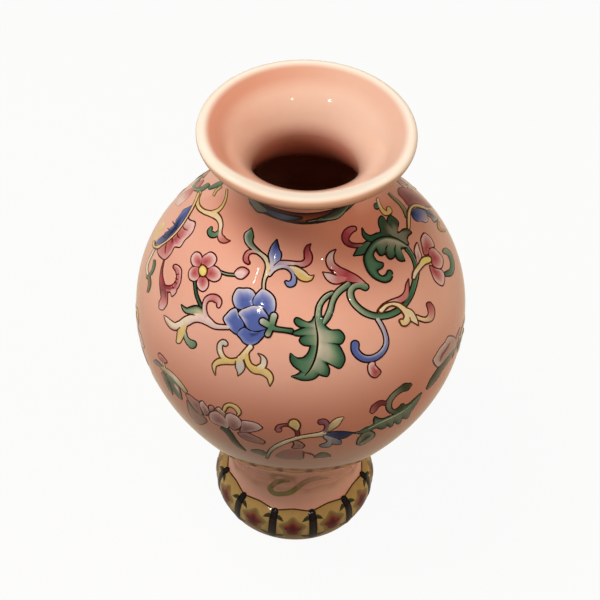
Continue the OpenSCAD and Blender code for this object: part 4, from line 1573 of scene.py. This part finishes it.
class VASE_OT_body(bpy.types.Operator):
    """Make the foot, the two halves of the body and the trumpet mouth"""
    bl_idname = "vase.body"
    bl_label = "Body sections"

    def execute(self, context):
        s = shape()
        curves = profile_curves()
        glaze, inner, clay = pink_glaze(), inner_glaze(), bare_clay()
        sections = {
            "lower_body_glazed": ("lower", ["lower_body", "waist_slip", "base_slip"]),
            "upper_body_glazed": ("upper", ["upper_body", "belly_slip"]),
            "mouth_glazed": ("mouth", ["trumpet_mouth", "neck_slip"]),
        }
        for name, (face, replaced) in sections.items():
            loop = np.vstack([curves[face], curves[face + "_inside"][::-1]])
            inside = np.arange(len(loop)) > s.rows
            keep(turned(name, loop, inside), [glaze, inner], replaced)
        self.make_foot(s, curves, glaze, clay)
        return {"FINISHED"}

    @staticmethod
    def make_foot(s, curves, glaze, clay):
        """The hollow foot: its outer face, its seat and ledge, and the cove of its recess."""
        seat = s.waist_r - s.wall
        ledge = seat - s.ledge_w
        inner_r = s.foot_r - s.ring_w
        cove = bezier([(inner_r, 0), (inner_r, s.recess / 2), (inner_r, s.recess), (ledge, s.recess)],
                      COVE_STEPS)
        outer = np.vstack([curves["foot"][:-1], curves["ankle"]])
        ring_edge = rounded(outer[0], (inner_r, 0), outer[EASED_POINTS], FOOT_EASE)
        cove_edge = rounded(cove[0], cove[EASED_POINTS], outer[0], FOOT_EASE)
        loop = np.vstack([ring_edge, outer[EASED_POINTS:],
                          [(seat, s.waist_z), (seat, s.ledge_z), (ledge, s.ledge_z)],
                          cove[:EASED_POINTS - 1:-1], cove_edge])
        bare = np.arange(len(loop)) >= len(ring_edge) + len(outer) - EASED_POINTS
        keep(turned("foot_glazed", loop, bare), [glaze, clay], ["foot"])


class VASE_OT_lip(bpy.types.Operator):
    """Make the rolled lip, with a thin brown line of painted shadow round its underside"""
    bl_idname = "vase.lip"
    bl_label = "Rolled lip"

    def execute(self, context):
        s = shape()
        roll = s.lip_t / 2
        angle = np.linspace(-np.pi / 2, np.pi / 2, s.rows)
        arc = np.stack([s.lip_r - roll + roll * np.cos(angle), s.height - roll + roll * np.sin(angle)], 1)
        low, high = np.radians(LIP_SHADOW)
        shadowed = (angle > low) & (angle < high)
        keep(turned("lip_glazed", arc, shadowed), [ivory_glaze(), brown_line()],
             ["lip_roll", "lip_slip"])
        return {"FINISHED"}


class VASE_OT_base(bpy.types.Operator):
    """Finish the base disc, glazed above and bare below"""
    bl_idname = "vase.base"
    bl_label = "Base disc"

    def execute(self, context):
        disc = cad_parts["base_disc"].data
        disc.materials.clear()
        for name in ("inner_glaze", "bare_clay"):
            disc.materials.append(bpy.data.materials[name])
        facing = np.empty(len(disc.polygons) * 3)
        disc.polygons.foreach_get("normal", facing)
        disc.polygons.foreach_set("material_index", (facing[2::3] < UNDERSIDE).astype(np.int32))
        disc.update()
        return {"FINISHED"}


def photo_piece(name, marks, turns=FRONT):
    """Paints a drawing of the photograph as one piece."""
    draw(name, PhotoCanvas(), marks, turns)


class VASE_OT_blue_flower(bpy.types.Operator):
    """Paint the blue lotus with its calyx"""
    bl_idname = "vase.blue_flower"
    bl_label = "Blue flower"

    def execute(self, context):
        photo_piece("blue_flower", BLUE_FLOWER, FRONT_AND_BACK)
        return {"FINISHED"}


class VASE_OT_acanthus(bpy.types.Operator):
    """Paint the large acanthus leaf and its stems"""
    bl_idname = "vase.acanthus"
    bl_label = "Acanthus leaf"

    def execute(self, context):
        photo_piece("acanthus_leaf", ACANTHUS, FRONT_AND_BACK)
        return {"FINISHED"}


class VASE_OT_spray(bpy.types.Operator):
    """Paint the spray of small leaves above the blue flower"""
    bl_idname = "vase.spray"
    bl_label = "Spray of leaves"

    def execute(self, context):
        photo_piece("leaf_spray", SPRAY, FRONT_AND_BACK)
        return {"FINISHED"}


class VASE_OT_blossom(bpy.types.Operator):
    """Paint the five-petalled blossom, the tulip and the flower on the right"""
    bl_idname = "vase.blossom"
    bl_label = "Pink flowers"

    def execute(self, context):
        photo_piece("pink_blossom", BLOSSOM, BLOSSOM_TURNS)
        photo_piece("tulip", TULIP, FRONT_AND_BACK)
        photo_piece("side_flower", RIGHT_FLOWER)
        return {"FINISHED"}


class VASE_OT_scrolls(bpy.types.Operator):
    """Paint the scrolls, forks and tendrils"""
    bl_idname = "vase.scrolls"
    bl_label = "Scrolls"

    def execute(self, context):
        photo_piece("yellow_fork", YELLOW_FORK, FRONT_AND_BACK)
        photo_piece("left_scroll", LEFT_SCROLL, FRONT_AND_BACK)
        photo_piece("right_scroll", RIGHT_SCROLL, FRONT_AND_BACK)
        photo_piece("green_scroll", C_SCROLL)
        photo_piece("rose_leaf", ROSE_LEAF)
        photo_piece("tendril", TENDRIL)
        return {"FINISHED"}


class VASE_OT_lotus(bpy.types.Operator):
    """Paint the large lotus flowers at the sides"""
    bl_idname = "vase.lotus"
    bl_label = "Side lotus flowers"

    def execute(self, context):
        photo_piece("left_lotus", LEFT_LOTUS)
        photo_piece("upper_lotus", UPPER_LOTUS)
        return {"FINISHED"}


class VASE_OT_lower_band(bpy.types.Operator):
    """Paint the second row of flowers under the belly, and the curl at the waist"""
    bl_idname = "vase.lower_band"
    bl_label = "Lower flowers"

    def execute(self, context):
        photo_piece("lower_lotus", LOWER_LOTUS, LOWER_LOTUS_TURNS)
        photo_piece("lower_scroll", LOWER_SCROLL, FRONT_AND_BACK)
        photo_piece("lower_leaf", LOWER_LEAF, FRONT_AND_BACK)
        photo_piece("waist_curl", WAIST_CURL, FRONT_AND_BACK)
        return {"FINISHED"}


class VASE_OT_collar(bpy.types.Operator):
    """Paint the collar of leaves round the neck, its enamels darkened as painted shade from the lip"""
    bl_idname = "vase.collar"
    bl_label = "Neck collar"

    def execute(self, context):
        draw("neck_collar", BandCanvas(COLLAR_Z), COLLAR, COLLAR_TURNS)
        return {"FINISHED"}


class VASE_OT_foot_band(bpy.types.Operator):
    """Paint the band of panels round the foot"""
    bl_idname = "vase.foot_band"
    bl_label = "Foot band"

    def execute(self, context):
        draw("foot_band", BandCanvas(FOOT_BAND_Z), FOOT_PANEL, PANEL_TURNS)
        return {"FINISHED"}


# Camera, floor and lamps

# Width of the camera's sensor, in millimetres
SENSOR_WIDTH = 36

# Half the floor's side, and its roughness
FLOOR_HALF = 6.0
FLOOR_ROUGHNESS = 0.8

# Where the floor's glow comes in, behind the vase's front and on its left, and fades on its right
GLOW_BEHIND = (-0.08, 0.06)
GLOW_LEFT = (-0.22, -0.02)
GLOW_RIGHT = (0.0, 0.25)
RIGHT_LOSS = 0.7

# Share of the floor's look that is its own light, to the camera and to the glaze, in shade and in the glow
CAMERA_LIGHT = 0.94
SHADE_LIGHT = 0.14
GLOW_LIGHT = 0.36

# Strength and colour of the light from all round
ROOM_STRENGTH = 0.12
ROOM_TINT = (1.0, 0.84, 0.68, 1.0)


class Lamp(NamedTuple):
    """A square lamp: its place, side, power and colour, and whether the glaze mirrors it."""
    place: tuple
    side: float
    power: float
    tint: tuple = (1.0, 0.96, 0.90)
    mirrored: bool = True


LAMPS = {
    "ceiling": Lamp((-0.42, -0.15, 1.20), 0.6, 12.0, mirrored=False),
    "right_fill": Lamp((0.85, -0.30, 0.45), 0.5, 3.7, (1.0, 0.87, 0.70), mirrored=False),
    "left_fill": Lamp((-0.55, -0.60, 0.06), 0.5, 1.3, mirrored=False),
    "spark": Lamp((-0.552, -0.386, 0.926), 0.005, 0.025),
    "flower_spark": Lamp((-0.39, -0.505, 0.815), 0.03, 0.27),
    "leaf_spark": Lamp((0.30, -0.57, 0.825), 0.016, 0.08),
}

# Point of the vase that every lamp faces
LAMP_AIM = (0, 0, 0.12)


class VASE_OT_stage(bpy.types.Operator):
    """Set up the camera, the floor and the lamps"""
    bl_idname = "vase.stage"
    bl_label = "Stage"

    def execute(self, context):
        scene = context.scene
        scene.view_settings.view_transform = "Standard"
        self.make_camera(scene)
        self.make_floor(scene)
        self.make_world(scene)
        for name, lamp in LAMPS.items():
            self.make_lamp(scene, name, lamp)
        return {"FINISHED"}

    @staticmethod
    def make_camera(scene):
        """Camera in front of and above the vase, looking down, leaning a little to the left."""
        v = stage()
        right, up, forward = camera_axes()
        lens = bpy.data.cameras.new("photo_camera")
        lens.sensor_width = SENSOR_WIDTH
        lens.sensor_fit = "HORIZONTAL"
        lens.lens = v.lens_px * SENSOR_WIDTH / PHOTO_SIDE
        camera = bpy.data.objects.new("photo_camera", lens)
        turn = Matrix((right, up, -forward)).transposed().to_4x4()
        camera.matrix_world = Matrix.Translation((0, -v.camera_back, v.camera_up)) @ turn
        scene.collection.objects.link(camera)
        scene.camera = camera

    @staticmethod
    def make_floor(scene):
        """A wide pale floor, white to the camera but keeping the vase's shadow.

        To the glaze it is in shade in front, and glows behind the vase and on its left.
        """
        mesh = bpy.data.meshes.new("floor")
        corners = [(-1, -1, 0), (1, -1, 0), (1, 1, 0), (-1, 1, 0)]
        mesh.from_pydata(FLOOR_HALF * np.array(corners), [], [(0, 1, 2, 3)])
        floor = bpy.data.objects.new("floor", mesh)
        scene.collection.objects.link(floor)
        paint = Paint("floor")
        across = paint.along("X")
        behind = paint.rise(paint.along("Y"), *GLOW_BEHIND)
        left = 1 - paint.rise(across, *GLOW_LEFT)
        kept = 1 - RIGHT_LOSS * paint.rise(across, *GLOW_RIGHT)
        glowing = 1 - (1 - behind * kept) * (1 - left)
        rays = paint.node("ShaderNodeLightPath")
        direct = paint.value(rays, "Is Camera Ray") + paint.value(rays, "Is Transmission Ray")
        pale = 1 - (1 - behind) * (1 - direct)
        base = paint.mix(pale, rgba(colours().floor_front), rgba(colours().floor))
        paint.surface(base, FLOOR_ROUGHNESS)
        glossy = paint.value(rays, "Is Glossy Ray")
        seen = CAMERA_LIGHT * direct + (SHADE_LIGHT + GLOW_LIGHT * glowing) * glossy
        glow = paint.mix(direct, rgba(colours().floor_glow), WHITE)
        light = paint.node("ShaderNodeEmission", None, {"Color": glow, "Strength": 1.0})
        blend = paint.node("ShaderNodeMixShader", None,
                           {0: seen, 1: paint.shader.outputs[0], 2: light.outputs[0]})
        paint.join(paint.output, "Surface", blend.outputs[0])
        mesh.materials.append(paint.material)
        floor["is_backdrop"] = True

    @staticmethod
    def make_world(scene):
        """Even light from all round, white to the camera."""
        world = bpy.data.worlds.new("room")
        scene.world = world
        world.use_nodes = True
        tree = world.node_tree
        background = tree.nodes["Background"]
        background.inputs["Strength"].default_value = ROOM_STRENGTH
        background.inputs["Color"].default_value = ROOM_TINT
        white = tree.nodes.new("ShaderNodeBackground")
        white.inputs["Color"].default_value = WHITE
        white.inputs["Strength"].default_value = 1.0
        rays = tree.nodes.new("ShaderNodeLightPath")
        blend = tree.nodes.new("ShaderNodeMixShader")
        tree.links.new(rays.outputs["Is Camera Ray"], blend.inputs[0])
        tree.links.new(background.outputs[0], blend.inputs[1])
        tree.links.new(white.outputs[0], blend.inputs[2])
        tree.links.new(blend.outputs[0], tree.nodes["World Output"].inputs["Surface"])

    @staticmethod
    def make_lamp(scene, name, lamp):
        """A lamp that faces the middle of the vase."""
        light = bpy.data.lights.new(name, "AREA")
        light.size = lamp.side
        light.energy = lamp.power
        light.color = lamp.tint
        holder = bpy.data.objects.new(name, light)
        holder.location = lamp.place
        holder.rotation_euler = (Vector(LAMP_AIM) - holder.location).to_track_quat("-Z", "Y").to_euler()
        holder.visible_glossy = lamp.mirrored
        scene.collection.objects.link(holder)


class VASE_PT_panel(bpy.types.Panel):
    """Lists the vase's pieces in the sidebar."""
    bl_idname = "VASE_PT_panel"
    bl_label = "Porcelain vase"
    bl_space_type = "VIEW_3D"
    bl_region_type = "UI"
    bl_category = "Vase"

    def draw(self, context):
        for operator in OPERATORS:
            self.layout.operator(operator.bl_idname)


GROUPS = {"vase_shape": VaseShape, "vase_colours": VaseColours, "vase_enamels": EnamelPalette,
          "vase_stage": VaseStage}
OPERATORS = (
    VASE_OT_stage, VASE_OT_body, VASE_OT_lip, VASE_OT_base, VASE_OT_blue_flower, VASE_OT_acanthus,
    VASE_OT_spray, VASE_OT_blossom, VASE_OT_scrolls, VASE_OT_lotus, VASE_OT_lower_band, VASE_OT_collar,
    VASE_OT_foot_band,
)


def register():
    """Adds the settings, the operators and the panel to Blender."""
    for name, group in GROUPS.items():
        bpy.utils.register_class(group)
        setattr(bpy.types.Scene, name, PointerProperty(type=group))
    for cls in (*OPERATORS, VASE_PT_panel):
        bpy.utils.register_class(cls)


def unregister():
    """Takes the panel, the operators and the settings out of Blender again."""
    for cls in (VASE_PT_panel, *reversed(OPERATORS)):
        bpy.utils.unregister_class(cls)
    for name, group in GROUPS.items():
        delattr(bpy.types.Scene, name)
        bpy.utils.unregister_class(group)


def main():
    """Makes every piece."""
    register()
    for operator in OPERATORS:
        call = getattr(bpy.ops.vase, operator.bl_idname.split(".")[1])
        call()
    boxes = {"cad": CAD_BOX, "visual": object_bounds()}
    plain = {name: [[float(x) for x in corner] for corner in box] for name, box in boxes.items()}


if __name__ == "__main__":
    main()
